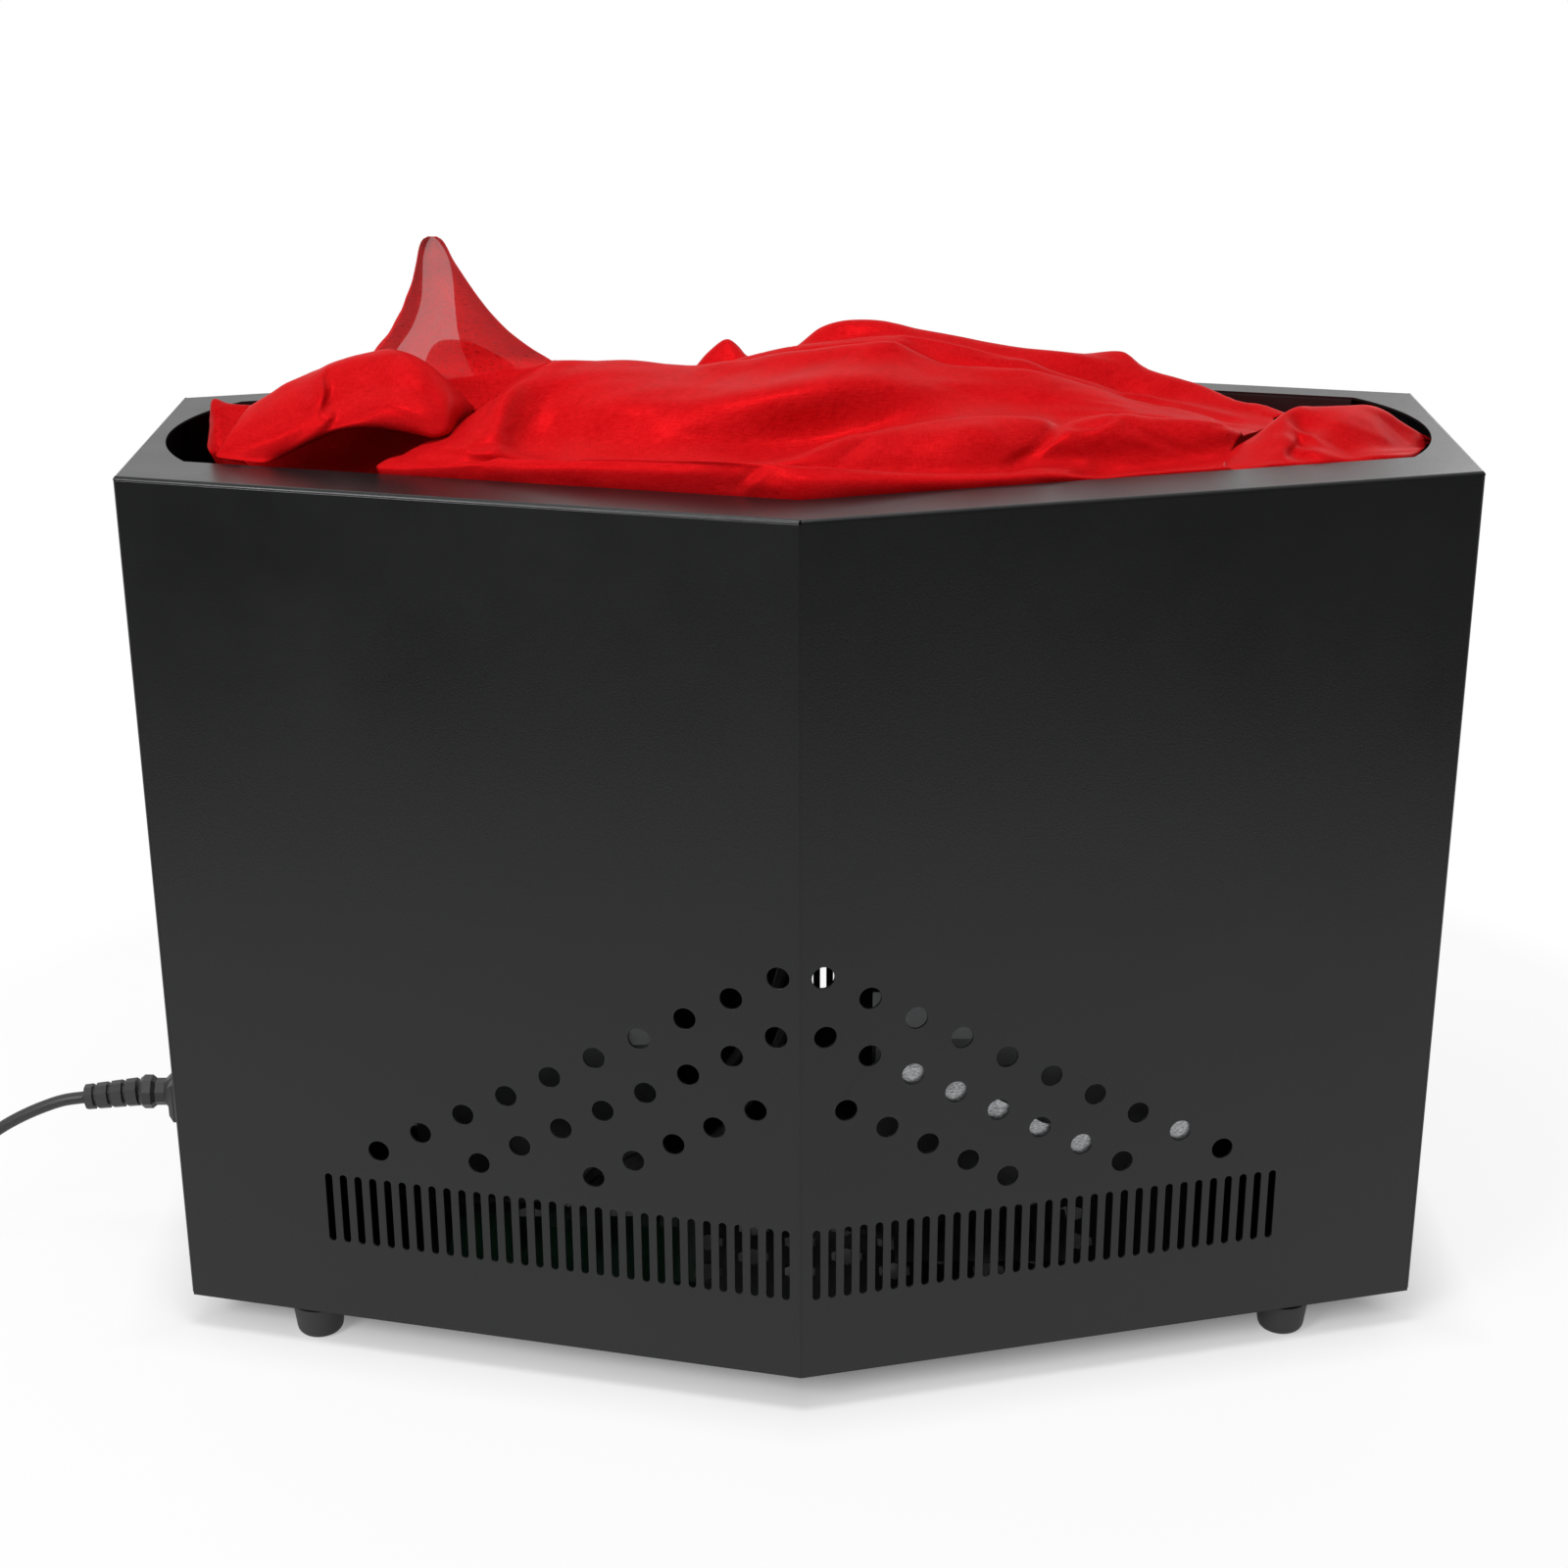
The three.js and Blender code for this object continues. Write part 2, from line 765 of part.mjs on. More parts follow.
function fanDeck() {
  const cutters = [];
  for (let i = 0; i < fan.count; i++) {
    cutters.push(levelCutter(fanX(i), 0, fan.size - 2 * deck.holeEdge, deck.airSides, deckLow));
  }
  for (const side of [-1, 1]) {
    const cableY = side * (DEPTH / 2 - deck.cableRidgeGap);
    cutters.push(levelCutter(0, cableY, deck.cableHole, base.holeSides, deckLow));
  }
  const flanges = Object.values(faces).map((face) =>
    faceBox(
      face,
      vents.flangeSetback,
      PANEL_LENGTH - vents.flangeSetback,
      deckInset,
      deckInset + SHEET,
      deckLow + SHEET / 2,
      deckTop + deck.flange,
    ).applyMatrix4(face.group.matrix),
  );
  return cut(join(slab(hexagon(deckInset), deckLow, deckTop), ...flanges), ...cutters);
}
addPart(light, "fan_deck", fanDeck(), "galvanised");

// Fan frame, drawn from its lower face: the motor's boss hangs from struts on the outlet side.
function fanFrame() {
  const half = fan.size / 2;
  const flat = half - fan.cornerRadius;
  const outline = new THREE.Shape();
  outline.moveTo(-flat, -half);
  outline.absarc(flat, -flat, fan.cornerRadius, -Math.PI / 2, 0);
  outline.absarc(flat, flat, fan.cornerRadius, 0, Math.PI / 2);
  outline.absarc(-flat, flat, fan.cornerRadius, Math.PI / 2, Math.PI);
  outline.absarc(-flat, -flat, fan.cornerRadius, Math.PI, (3 * Math.PI) / 2);
  outline.holes.push(polygonPath(0, 0, fan.bore, fan.boreSides));
  const pieces = [slab(outline, 0, fan.depth, 2)];
  pieces.push(post(fan.boss, fan.depth - fan.bossDepth, fan.depth, rotor.hubSides));
  for (let i = 0; i < fan.struts; i++) {
    const strut = boxBetween(
      [fan.boss / 4, -fan.strutWidth / 2, fan.depth - fan.strutDepth],
      [(fan.bore + fan.strutWidth) / 2, fan.strutWidth / 2, fan.depth],
    );
    pieces.push(strut.rotateZ(((i + 0.5) * 2 * Math.PI) / fan.struts));
  }
  const shaftHole = post(
    rotor.shaft + 2 * rotor.shaftGap,
    fan.depth - fan.bossDepth - CUT_OVERRUN,
    fan.depth + CUT_OVERRUN,
    rotor.hubSides,
  );
  return cut(join(...pieces), shaftHole);
}

function fanRotor() {
  const hubTop = fan.depth - fan.bossDepth - rotor.runningGap;
  const hubRadius = rotor.hub / 2;
  const hub = turned(
    [
      [0, rotor.recess],
      [hubRadius, rotor.recess],
      [hubRadius, hubTop],
      [rotor.shaft / 2, hubTop],
      [rotor.shaft / 2, hubTop + rotor.runningGap + rotor.shaftLength],
      [0, hubTop + rotor.runningGap + rotor.shaftLength],
    ],
    rotor.hubSides,
  );
  const tipDiameter = fan.bore - 2 * rotor.tipGap;
  const middle = (rotor.recess + hubTop) / 2;
  const blades = [];
  for (let i = 0; i < rotor.blades; i++) {
    const blade = boxBetween(
      [hubRadius / 2, -rotor.chord / 2, -rotor.bladeThickness / 2],
      [tipDiameter / 2 + CUT_OVERRUN, rotor.chord / 2, rotor.bladeThickness / 2],
    );
    blade.rotateX(THREE.MathUtils.degToRad(rotor.pitchDegrees));
    blade.rotateZ((i * 2 * Math.PI) / rotor.blades).translate(0, 0, middle);
    blades.push(blade);
  }
  const sweepDiameter = tipDiameter * Math.cos(Math.PI / fan.boreSides);
  const sweep = solidOf(post(sweepDiameter, rotor.recess, hubTop, rotor.tipSides));
  return join(hub, geometryOf(solidOf(join(...blades)).intersect(sweep)));
}

const fanLow = deckTop + SEAT_GAP;
for (let i = 0; i < fan.count; i++) {
  const place = new THREE.Group();
  place.position.set(fanX(i), 0, fanLow);
  light.add(place);
  addPart(place, "fan_frame_" + (i + 1), fanFrame(), "blackPlastic");
  addPart(place, "fan_rotor_" + (i + 1), fanRotor(), "blackPlastic");
}

// Guard grille over the fans, which keeps the silk out of them
function guardGrille() {
  const halfLength = (fan.count * fanPitch - fan.gap) / 2 - guard.margin;
  const halfWidth = fan.size / 2 - guard.margin;
  const low = fanLow + fan.depth + SEAT_GAP;
  const high = low + guard.thickness;
  const windows = [];
  const pitchX = (2 * halfLength - guard.bar) / guard.windowsAlong;
  const pitchY = (2 * halfWidth - guard.bar) / guard.windowsAcross;
  for (let i = 0; i < guard.windowsAlong; i++) {
    for (let j = 0; j < guard.windowsAcross; j++) {
      const lowX = -halfLength + guard.bar + pitchX * i;
      const lowY = -halfWidth + guard.bar + pitchY * j;
      const [highX, highY] = [lowX + pitchX - guard.bar, lowY + pitchY - guard.bar];
      windows.push(boxBetween([lowX, lowY, low - CUT_OVERRUN], [highX, highY, high + CUT_OVERRUN]));
    }
  }
  return cut(boxBetween([-halfLength, -halfWidth, low], [halfLength, halfWidth, high]), ...windows);
}
addPart(light, "fan_guard", guardGrille(), "galvanised");

// Silk rails and clamp bars inside the rear lip
const railInset = rearInset + SEAT_GAP;
const hemInset = railInset + rail.thickness + SEAT_GAP;
const clampInset = hemInset + silk.thickness + SEAT_GAP;
const railHigh = TOP - rail.topGap;
const railReach = LENGTH / 2 - rail.endGap;
for (const side of ["left", "right"]) {
  const face = faces["rear_" + side];
  const reach = alongFace(railReach, railInset);
  const railLow = railHigh - rail.height;
  addPart(
    face.group,
    "silk_rail_" + side,
    faceBox(face, rail.ridgeGap, reach, railInset, railInset + rail.thickness, railLow, railHigh),
    "aluminium",
  );
  const clampLow = railHigh - (rail.height + clamp.height) / 2;
  const clampHigh = clampLow + clamp.height;
  addPart(
    face.group,
    "silk_clamp_" + side,
    faceBox(face, rail.ridgeGap, reach, clampInset, clampInset + clamp.thickness, clampLow, clampHigh),
    "aluminium",
  );
}

// LED bars: a finned heat sink on the panel, the board on its inner face and the lens over the board
function heatSink(face, low, high) {
  const end = PANEL_LENGTH - ledBar.endGap;
  const back = SHEET + SEAT_GAP;
  const webLow = back + ledBar.finLength;
  const pieces = [faceBox(face, ledBar.ridgeGap, end, webLow, webLow + ledBar.web, low, high)];
  const pitch = (high - low - ledBar.finThickness) / (ledBar.fins - 1);
  for (let i = 0; i < ledBar.fins; i++) {
    const finLow = low + pitch * i;
    const finHigh = finLow + ledBar.finThickness;
    pieces.push(faceBox(face, ledBar.ridgeGap, end, back, webLow + ledBar.web / 2, finLow, finHigh));
  }
  return join(...pieces);
}
for (const side of ["left", "right"]) {
  const face = faces["front_" + side];
  const high = TOP - ledBar.topGap;
  const low = high - ledBar.height;
  const start = ledBar.ridgeGap + ledBar.boardMargin;
  const end = PANEL_LENGTH - ledBar.endGap - ledBar.boardMargin;
  const boardInset = SHEET + SEAT_GAP + ledBar.finLength + ledBar.web + SEAT_GAP;
  const lensInset = boardInset + ledBar.board + SEAT_GAP;
  const [boardLow, boardHigh] = [low + ledBar.boardMargin, high - ledBar.boardMargin];
  addPart(face.group, "led_heat_sink_" + side, heatSink(face, low, high), "aluminium");
  addPart(
    face.group,
    "led_board_" + side,
    faceBox(face, start, end, boardInset, boardInset + ledBar.board, boardLow, boardHigh),
    "ledBoard",
  );
  const lens = cut(
    faceBox(face, start, end, lensInset, lensInset + ledBar.lens, boardLow, boardHigh),
    faceBox(
      face,
      start + ledBar.lensEdge,
      end - ledBar.lensEdge,
      lensInset - CUT_OVERRUN,
      lensInset + ledBar.lens - ledBar.lensEdge,
      boardLow + ledBar.lensEdge,
      boardHigh - ledBar.lensEdge,
    ),
  );
  addPart(face.group, "led_lens_" + side, lens, "clearLens");
}

// Silk. Height over the top frame from the folds, whose ridges blend where they meet.
const halfMouth = new THREE.Vector2(mouthReach, (edgeY(0, frontInset) + edgeY(0, rearInset)) / 2);

function smooth(share) {
  const inside = THREE.MathUtils.clamp(share, 0, 1);
  return inside * inside * (3 - 2 * inside);
}

function foldHeight(x, y) {
  const here = new THREE.Vector2(x, y);
  const heights = [];
  for (const { width, ridge } of foldShares) {
    let best = 0;
    for (let i = 1; i < ridge.length; i++) {
      const ends = [ridge[i - 1], ridge[i]];
      const [from, to] = ends.map(([a, b]) => new THREE.Vector2(a, b).multiply(halfMouth));
      const run = to.clone().sub(from);
      const share = THREE.MathUtils.clamp(here.clone().sub(from).dot(run) / run.lengthSq(), 0, 1);
      const away = here.distanceTo(from.addScaledVector(run, share)) / (width * halfMouth.y);
      const rise = THREE.MathUtils.lerp(ridge[i - 1][2], ridge[i][2], share) * silk.rise;
      best = Math.max(best, rise / (1 + away * away) ** 1.5);
    }
    heights.push(best);
  }
  const peakX = x - peakShares.along * halfMouth.x;
  const peakY = y - peakShares.across * halfMouth.y;
  const reach = Math.max(Math.abs(peakX) - silk.peakFlat, 0) / (peakX < 0 ? silk.peakLeft : silk.peakRight);
  heights.push(silk.rise * Math.exp(-reach - (peakY / silk.peakAcross) ** 2));
  return Math.cbrt(heights.reduce((sum, height) => sum + height ** 3, 0));
}

// A value read off the hem table at a place along the mouth.
function hemAt(x, key) {
  const share = x / halfMouth.x;
  const next = Math.max(hemShares.findIndex((hem, i) => i > 0 && hem.along >= share), 1);
  const [a, b] = [hemShares[next - 1], hemShares[next]];
  const between = THREE.MathUtils.clamp((share - a.along) / (b.along - a.along), 0, 1);
  return THREE.MathUtils.lerp(a[key], b[key], between) * halfMouth.y;
}

// The cloth's outer points at one place along the mouth, from the clamped rear hem to the front hem, each
// with the way that the cloth's thickness goes there.
function silkColumn(x) {
  const held = Math.abs(x) <= railReach + silk.railHold;
  const resting = x >= restShares.from * halfMouth.x && x <= restShares.to * halfMouth.x;
  const rear = held ? edgeY(x, hemInset) : hemAt(x, "rear");
  const front = resting ? -edgeY(x, frontInset) - silk.overlap : hemAt(x, "front");
  const level = TOP + SEAT_GAP + silk.thickness;
  const points = [];
  if (held) {
    points.push({ at: [x, rear, railHigh - rail.height], into: [0, -silk.thickness / Math.cos(TURN), 0] });
  }
  const steps = silk.rows - points.length;
  for (let i = 0; i <= steps; i++) {
    const y = rear + ((front - rear) * i) / steps;
    const edge = smooth(Math.min(rear - y, y - front - (resting ? silk.overlap : 0)) / silk.softEdge);
    const hem = resting && i === steps ? 0 : silk.hemLift;
    const height = hem + Math.max(foldHeight(x, y) - hem, silk.lift) * edge;
    const turnsDown = held && i === 0;
    points.push({
      at: [x, y, level + height],
      into: turnsDown ? [0, -silk.thickness / Math.cos(TURN), -silk.thickness] : [0, 0, -silk.thickness],
    });
  }
  return points;
}

function silkSheet() {
  const first = hemShares[0].along * halfMouth.x;
  const last = hemShares[hemShares.length - 1].along * halfMouth.x;
  const outer = [];
  const inner = [];
  for (let i = -silk.columnsLeft; i <= silk.columnsRight; i++) {
    const x = i < 0 ? (first * -i) / silk.columnsLeft : (last * i) / silk.columnsRight;
    for (const { at, into } of silkColumn(x)) {
      outer.push(at);
      inner.push(at.map((value, axis) => value + into[axis]));
    }
  }
  const columns = silk.columnsLeft + silk.columnsRight;
  const across = silk.rows + 1;
  const triangles = [];
  const quad = (a, b, c, d) => triangles.push(a, b, c, a, c, d);
  const under = outer.length;
  for (let i = 0; i < columns; i++) {
    for (let j = 0; j < silk.rows; j++) {
      const [a, b] = [i * across + j, (i + 1) * across + j];
      quad(a, a + 1, b + 1, b);
      quad(under + a, under + b, under + b + 1, under + a + 1);
    }
    const [a, b] = [i * across, (i + 1) * across];
    quad(a, b, under + b, under + a);
    quad(a + silk.rows, under + a + silk.rows, under + b + silk.rows, b + silk.rows);
  }
  for (let j = 0; j < silk.rows; j++) {
    const end = columns * across + j;
    quad(j, under + j, under + j + 1, j + 1);
    quad(end, end + 1, under + end + 1, under + end);
  }
  const geometry = new THREE.BufferGeometry();
  geometry.setAttribute("position", new THREE.Float32BufferAttribute([...outer, ...inner].flat(), 3));
  geometry.setIndex(triangles);
  return geometry;
}
addPart(light, "silk_sheet", silkSheet(), "redSilk");

// Boxes that stand on the base plate
const floorLevel = BASE_TOP + SEAT_GAP;
function standing({ x, y, length, width, height, lid }) {
  const body = boxBetween(
    [x - length / 2, y - width / 2, floorLevel],
    [x + length / 2, y + width / 2, floorLevel + height - lid],
  );
  const cover = boxBetween(
    [x - length / 2 - lid, y - width / 2 - lid, floorLevel + height / 2],
    [x + length / 2 + lid, y + width / 2 + lid, floorLevel + height],
  );
  return join(body, cover);
}
addPart(light, "power_supply", standing(supply), "galvanised");
addPart(light, "led_driver", standing(driver), "galvanised");

function controlBoard() {
  const low = floorLevel + board.legHeight;
  const [halfLength, halfWidth] = [board.length / 2, board.width / 2];
  const high = low + board.thickness;
  const pieces = [boxBetween([-halfLength, -halfWidth, low], [halfLength, halfWidth, high])];
  for (const sideX of [-1, 1]) {
    for (const sideY of [-1, 1]) {
      const leg = post(board.leg, floorLevel, low + board.thickness / 2, base.holeSides);
      pieces.push(leg.translate(sideX * (halfLength - board.leg), sideY * (halfWidth - board.leg), 0));
    }
  }
  for (let i = 0; i < board.partsAlong; i++) {
    const centre = ((i + 0.5) / board.partsAlong - 0.5) * board.length;
    pieces.push(
      boxBetween(
        [centre - board.partLength / 2, -board.partWidth / 2, low + board.thickness / 2],
        [centre + board.partLength / 2, board.partWidth / 2, low + board.thickness + board.partHeight],
      ),
    );
  }
  return join(...pieces).translate(board.x, board.y, 0);
}
addPart(light, "control_board", controlBoard(), "circuitBoard");

function terminalBlock() {
  const { x, y, length, width, height, ways, slot, slotDepth } = terminals;
  const body = boxBetween(
    [x - length / 2, y - width / 2, floorLevel],
    [x + length / 2, y + width / 2, floorLevel + height],
  );
  const slots = [];
  for (let i = 0; i < ways; i++) {
    const centre = x + ((i + 0.5) / ways - 0.5) * length;
    slots.push(
      boxBetween(
        [centre - slot / 2, y - width / 2 - CUT_OVERRUN, floorLevel + height - slotDepth],
        [centre + slot / 2, y, floorLevel + height + CUT_OVERRUN],
      ),
    );
  }
  return cut(body, ...slots);
}
addPart(light, "terminal_block", terminalBlock(), "blackPlastic");

// Wiring. Each run starts and ends square to what it serves.
const fromShares = (shares) =>
  shares.map(([x, y, z]) => [(x * LENGTH) / 2, (y * DEPTH) / 2, PANEL_LOW + z * HEIGHT]);
const boardTop = floorLevel + board.legHeight + board.thickness + board.partHeight + wire.endGap;
const driverTop = floorLevel + driver.height + wire.endGap;

function risingFrom(x, y, level) {
  return [
    [x, y, level],
    [x, y, level + wire.stub],
  ];
}

const inletEnd = inlet.bodyDepth + inlet.tabLength + wire.endGap - LENGTH / 2;
const terminalSide = terminals.x - terminals.length / 2 - wire.endGap;
const terminalLevel = floorLevel + terminals.height / 2;
const mainsRoute = [
  [inletEnd, 0, PANEL_LOW + inlet.height],
  [inletEnd + wire.stub, 0, PANEL_LOW + inlet.height],
  ...fromShares(mainsShares),
  [terminalSide, terminals.y, terminalLevel],
];
addPart(light, "mains_wiring", tubeAlong(mainsRoute, wire), "cordSheath");

const fanSide = fan.size / 2 + wire.diameter / 2 + wire.endGap;
const fanRoute = [
  ...risingFrom(driver.x + driver.length * driver.outletShare, driver.y, driverTop),
  ...fromShares(fanShares),
  [-fan.size / 4, fanSide, PANEL_LOW + deck.height + fan.depth - fan.bossDepth],
];
addPart(light, "fan_wiring", tubeAlong(fanRoute, wire), "cordSheath");

for (const [side, shares, start] of [
  ["left", ledLeftShares, 0],
  ["right", ledRightShares, 1],
]) {
  const face = faces["front_" + side];
  const along = (ledBar.ridgeGap - wire.endGap) * face.hand;
  const inset = SHEET + SEAT_GAP + ledBar.finLength + ledBar.web / 2;
  const level = TOP - ledBar.topGap - ledBar.height / 2;
  const end = [along - wire.stub * face.hand, along].map((x) =>
    new THREE.Vector3(x, inset, level).applyMatrix4(face.group.matrix).toArray(),
  );
  const startX = board.x + (start * board.length) / board.partsAlong;
  const route = [...risingFrom(startX, board.y, boardTop), ...fromShares(shares), ...end];
  addPart(light, "led_wiring_" + side, tubeAlong(route, wire), "cordSheath");
}

// Fittings of the left end panel, in a frame whose X points out of the housing
const fittings = new THREE.Group();
fittings.position.set(-LENGTH / 2, 0, PANEL_LOW + inlet.height);
fittings.rotation.z = Math.PI;
light.add(fittings);

// A turned piece whose axis points out of the panel, from [radius, distance out] points.
function turnedOut(points, sides) {
  return turned(points, sides).rotateY(Math.PI / 2);
}

function centredBox(fromX, toX, width, height, y = 0, z = 0) {
  return boxBetween([fromX, y - width / 2, z - height / 2], [toX, y + width / 2, z + height / 2]);
}

const flangeOut = SEAT_GAP + inlet.flange;
function powerInlet() {
  const { bodyWidth, bodyHeight, bodyDepth, wall, tab, tabThickness, tabLength, tabPitch } = inlet;
  const body = join(
    centredBox(SEAT_GAP, flangeOut, inlet.flangeWidth, inlet.flangeHeight),
    centredBox(-bodyDepth, flangeOut, bodyWidth, bodyHeight),
    ...[-1, 0, 1].map((side) =>
      centredBox(-bodyDepth - tabLength, -bodyDepth + wall, tab, tabThickness, 0, side * tabPitch),
    ),
  );
  const socket = centredBox(
    inlet.floor - bodyDepth,
    flangeOut + CUT_OVERRUN,
    bodyWidth - 2 * wall,
    bodyHeight - 2 * wall,
  );
  return cut(body, socket);
}
addPart(fittings, "power_inlet", powerInlet(), "blackPlastic");

// The connector's body carries on through a neck into an eight-sided collar.
const connectorStart = flangeOut + SEAT_GAP;
const neckStart = connectorStart + lead.bodyLength;
const collarStart = neckStart + lead.taper + lead.neckLength;
const collarEnd = collarStart + lead.collarLength;
function leadConnector() {
  const noseWidth = inlet.bodyWidth - 2 * inlet.wall - 4 * SEAT_GAP;
  const noseHeight = inlet.bodyHeight - 2 * inlet.wall - 4 * SEAT_GAP;
  const flat = rectangle(
    lead.chamfer - lead.bodyHeight / 2,
    lead.bodyHeight / 2 - lead.chamfer,
    lead.chamfer - lead.bodyWidth / 2,
    lead.bodyWidth / 2 - lead.chamfer,
  );
  const body = new THREE.ExtrudeGeometry(flat, {
    depth: lead.bodyLength - 2 * lead.chamfer,
    bevelThickness: lead.chamfer,
    bevelSize: lead.chamfer,
    bevelSegments: 1,
  });
  body.rotateY(Math.PI / 2).translate(connectorStart + lead.chamfer, 0, 0);
  const apothem = Math.cos(Math.PI / lead.sides);
  const [neckRadius, collarRadius] = [lead.neck / 2 / apothem, lead.collar / 2 / apothem];
  const neck = turnedOut(
    [
      [0, neckStart - lead.chamfer],
      [neckRadius + lead.taper, neckStart - lead.chamfer],
      [neckRadius + lead.taper, neckStart],
      [neckRadius, neckStart + lead.taper],
      [neckRadius, collarStart],
      [collarRadius, collarStart + lead.collarChamfer],
      [collarRadius, collarEnd - lead.collarChamfer],
      [neckRadius, collarEnd],
      [0, collarEnd],
    ],
    lead.sides,
  );
  const noseStart = connectorStart - flangeOut - lead.noseDepth;
  const nose = centredBox(noseStart, neckStart - lead.bodyLength / 2, noseWidth, noseHeight);
  return join(nose, body, neck.rotateX(Math.PI / lead.sides));
}
addPart(fittings, "lead_connector", leadConnector(), "blackPlastic");

// The strain relief droops a little from the collar's centre.
const droop = THREE.MathUtils.degToRad(relief.droopDegrees);
const reliefGroup = new THREE.Group();
reliefGroup.position.set(collarEnd + SEAT_GAP + (relief.diameter / 2) * Math.tan(droop), 0, 0);
reliefGroup.rotation.y = droop;
fittings.add(reliefGroup);
function strainRelief() {
  const points = [[0, 0]];
  const taper = (relief.diameter - relief.tip) / 2 / relief.length;
  const pitch = (relief.length - relief.end) / relief.grooves;
  for (let i = 0; i < relief.grooves; i++) {
    const from = pitch * i;
    const to = pitch * (i + 1) - relief.groove;
    points.push([relief.diameter / 2 - taper * from, from], [relief.diameter / 2 - taper * to, to]);
    points.push([relief.core / 2, to], [relief.core / 2, to + relief.groove]);
  }
  const last = relief.length - relief.end;
  points.push([relief.diameter / 2 - taper * last, last]);
  points.push([relief.tip / 2, relief.length], [0, relief.length]);
  return turnedOut(points, foot.sides);
}
addPart(reliefGroup, "lead_strain_relief", strainRelief(), "blackPlastic");

// Rocker switch, upright, with the rocker's low end pressed
const switchGroup = new THREE.Group();
switchGroup.position.set(0, rocker.y, 0);
fittings.add(switchGroup);
function switchHousing() {
  const { width, length, bezel, wall, depth, floor, edge } = switchBox;
  const body = join(
    centredBox(SEAT_GAP, SEAT_GAP + bezel, width + 2 * edge, length + 2 * edge),
    centredBox(-depth, SEAT_GAP + bezel, width, length),
  );
  const hollow = centredBox(
    floor - depth,
    SEAT_GAP + bezel + CUT_OVERRUN,
    rocker.width + 2 * SEAT_GAP,
    length - 2 * wall,
  );
  const pinHole = post(
    rocker.pin + 2 * SEAT_GAP,
    -rocker.width / 2 - rocker.pinLength - SEAT_GAP,
    rocker.width / 2 + rocker.pinLength + SEAT_GAP,
    rocker.sides,
  );
  return cut(body, hollow, pinHole.rotateX(Math.PI / 2).translate(-rocker.pivotDepth, 0, 0));
}
addPart(switchGroup, "switch_housing", switchHousing(), "blackPlastic");

function switchRocker() {
  const half = rocker.length / 2;
  const outline = new THREE.Shape([
    new THREE.Vector2(rocker.rise + rocker.pivotDepth, -half),
    new THREE.Vector2(rocker.rise + rocker.pivotDepth, half),
    new THREE.Vector2(rocker.pivotDepth, half),
    new THREE.Vector2(-rocker.sink, half / 2),
    new THREE.Vector2(-rocker.sink, -half / 2),
    new THREE.Vector2(rocker.pivotDepth, -half),
  ]);
  const body = slab(outline, -rocker.width / 2, rocker.width / 2);
  const dip = new THREE.Shape([
    new THREE.Vector2(rocker.rise + rocker.pivotDepth - rocker.dip, 0),
    new THREE.Vector2(rocker.rise + rocker.pivotDepth, -half),
    new THREE.Vector2(rocker.rise + rocker.pivotDepth + CUT_OVERRUN, 0),
    new THREE.Vector2(rocker.rise + rocker.pivotDepth, half),
  ]);
  const hollow = slab(dip, -rocker.width, rocker.width);
  const pinReach = rocker.width / 2 + rocker.pinLength;
  const pins = post(rocker.pin, -pinReach, pinReach, rocker.sides);
  const tilt = THREE.MathUtils.degToRad(rocker.tiltDegrees);
  return join(cut(body, hollow), pins)
    .rotateX(-Math.PI / 2)
    .rotateY(tilt)
    .translate(-rocker.pivotDepth, 0, 0);
}
addPart(switchGroup, "switch_rocker", switchRocker(), "blackPlastic");

// Fuse holder and its cap, which turns a quarter to come out
const fuseGroup = new THREE.Group();
fuseGroup.position.set(0, fuse.y, 0);
fittings.add(fuseGroup);
const fuseSeat = SEAT_GAP + fuse.flangeHeight;
function fuseHolder() {
  const body = turnedOut(
    [
      [0, -fuse.depth],
      [fuse.body / 2, -fuse.depth],
      [fuse.body / 2, SEAT_GAP],
      [fuse.flange / 2, SEAT_GAP],
      [fuse.flange / 2, fuseSeat],
      [0, fuseSeat],
    ],
    fuse.sides,
  );
  const bore = turnedOut(
    [
      [0, -fuse.shankLength - SEAT_GAP],
      [fuse.shank / 2 + SEAT_GAP, -fuse.shankLength - SEAT_GAP],
      [fuse.shank / 2 + SEAT_GAP, fuseSeat + CUT_OVERRUN],
      [0, fuseSeat + CUT_OVERRUN],
    ],
    fuse.sides,
  );
  return cut(body, bore);
}
addPart(fuseGroup, "fuse_holder", fuseHolder(), "blackPlastic");

function fuseCap() {
  const low = fuseSeat + SEAT_GAP;
  const body = turnedOut(
    [
      [0, -fuse.shankLength],
      [fuse.shank / 2, -fuse.shankLength],
      [fuse.shank / 2, low],
      [fuse.cap / 2, low],
      [fuse.cap / 2, low + fuse.capHeight],
      [0, low + fuse.capHeight],
    ],
    fuse.sides,
  );
  const slot = centredBox(
    low + fuse.capHeight - fuse.slotDepth,
    low + fuse.capHeight + CUT_OVERRUN,
    fuse.cap + CUT_OVERRUN,
    fuse.slotWidth,
  );
  return cut(body, slot);
}
addPart(fuseGroup, "fuse_cap", fuseCap(), "blackPlastic");

// End panels, the left one with cut-outs for the fittings. Its outline's X runs along the housing's Y.
const fittingLevel = PANEL_LOW + inlet.height;
const clearance = 2 * SEAT_GAP;
const halfCut = (size) => size / 2 + clearance;
const slotAt = (along, width, height) =>
  slotCutter(
    along - halfCut(width),
    along + halfCut(width),
    fittingLevel - halfCut(height),
    fittingLevel + halfCut(height),
  );
const leftHoles = [
  slotAt(0, inlet.bodyWidth, inlet.bodyHeight),
  slotAt(rocker.y, switchBox.width, switchBox.length),
  roundCutter(fuse.y, fittingLevel, fuse.body + 2 * clearance, fuse.sides),
];
addPart(light, "left_end_panel", endPanel(-1, leftHoles), "powderCoat");
addPart(light, "right_end_panel", endPanel(1, []), "powderCoat");

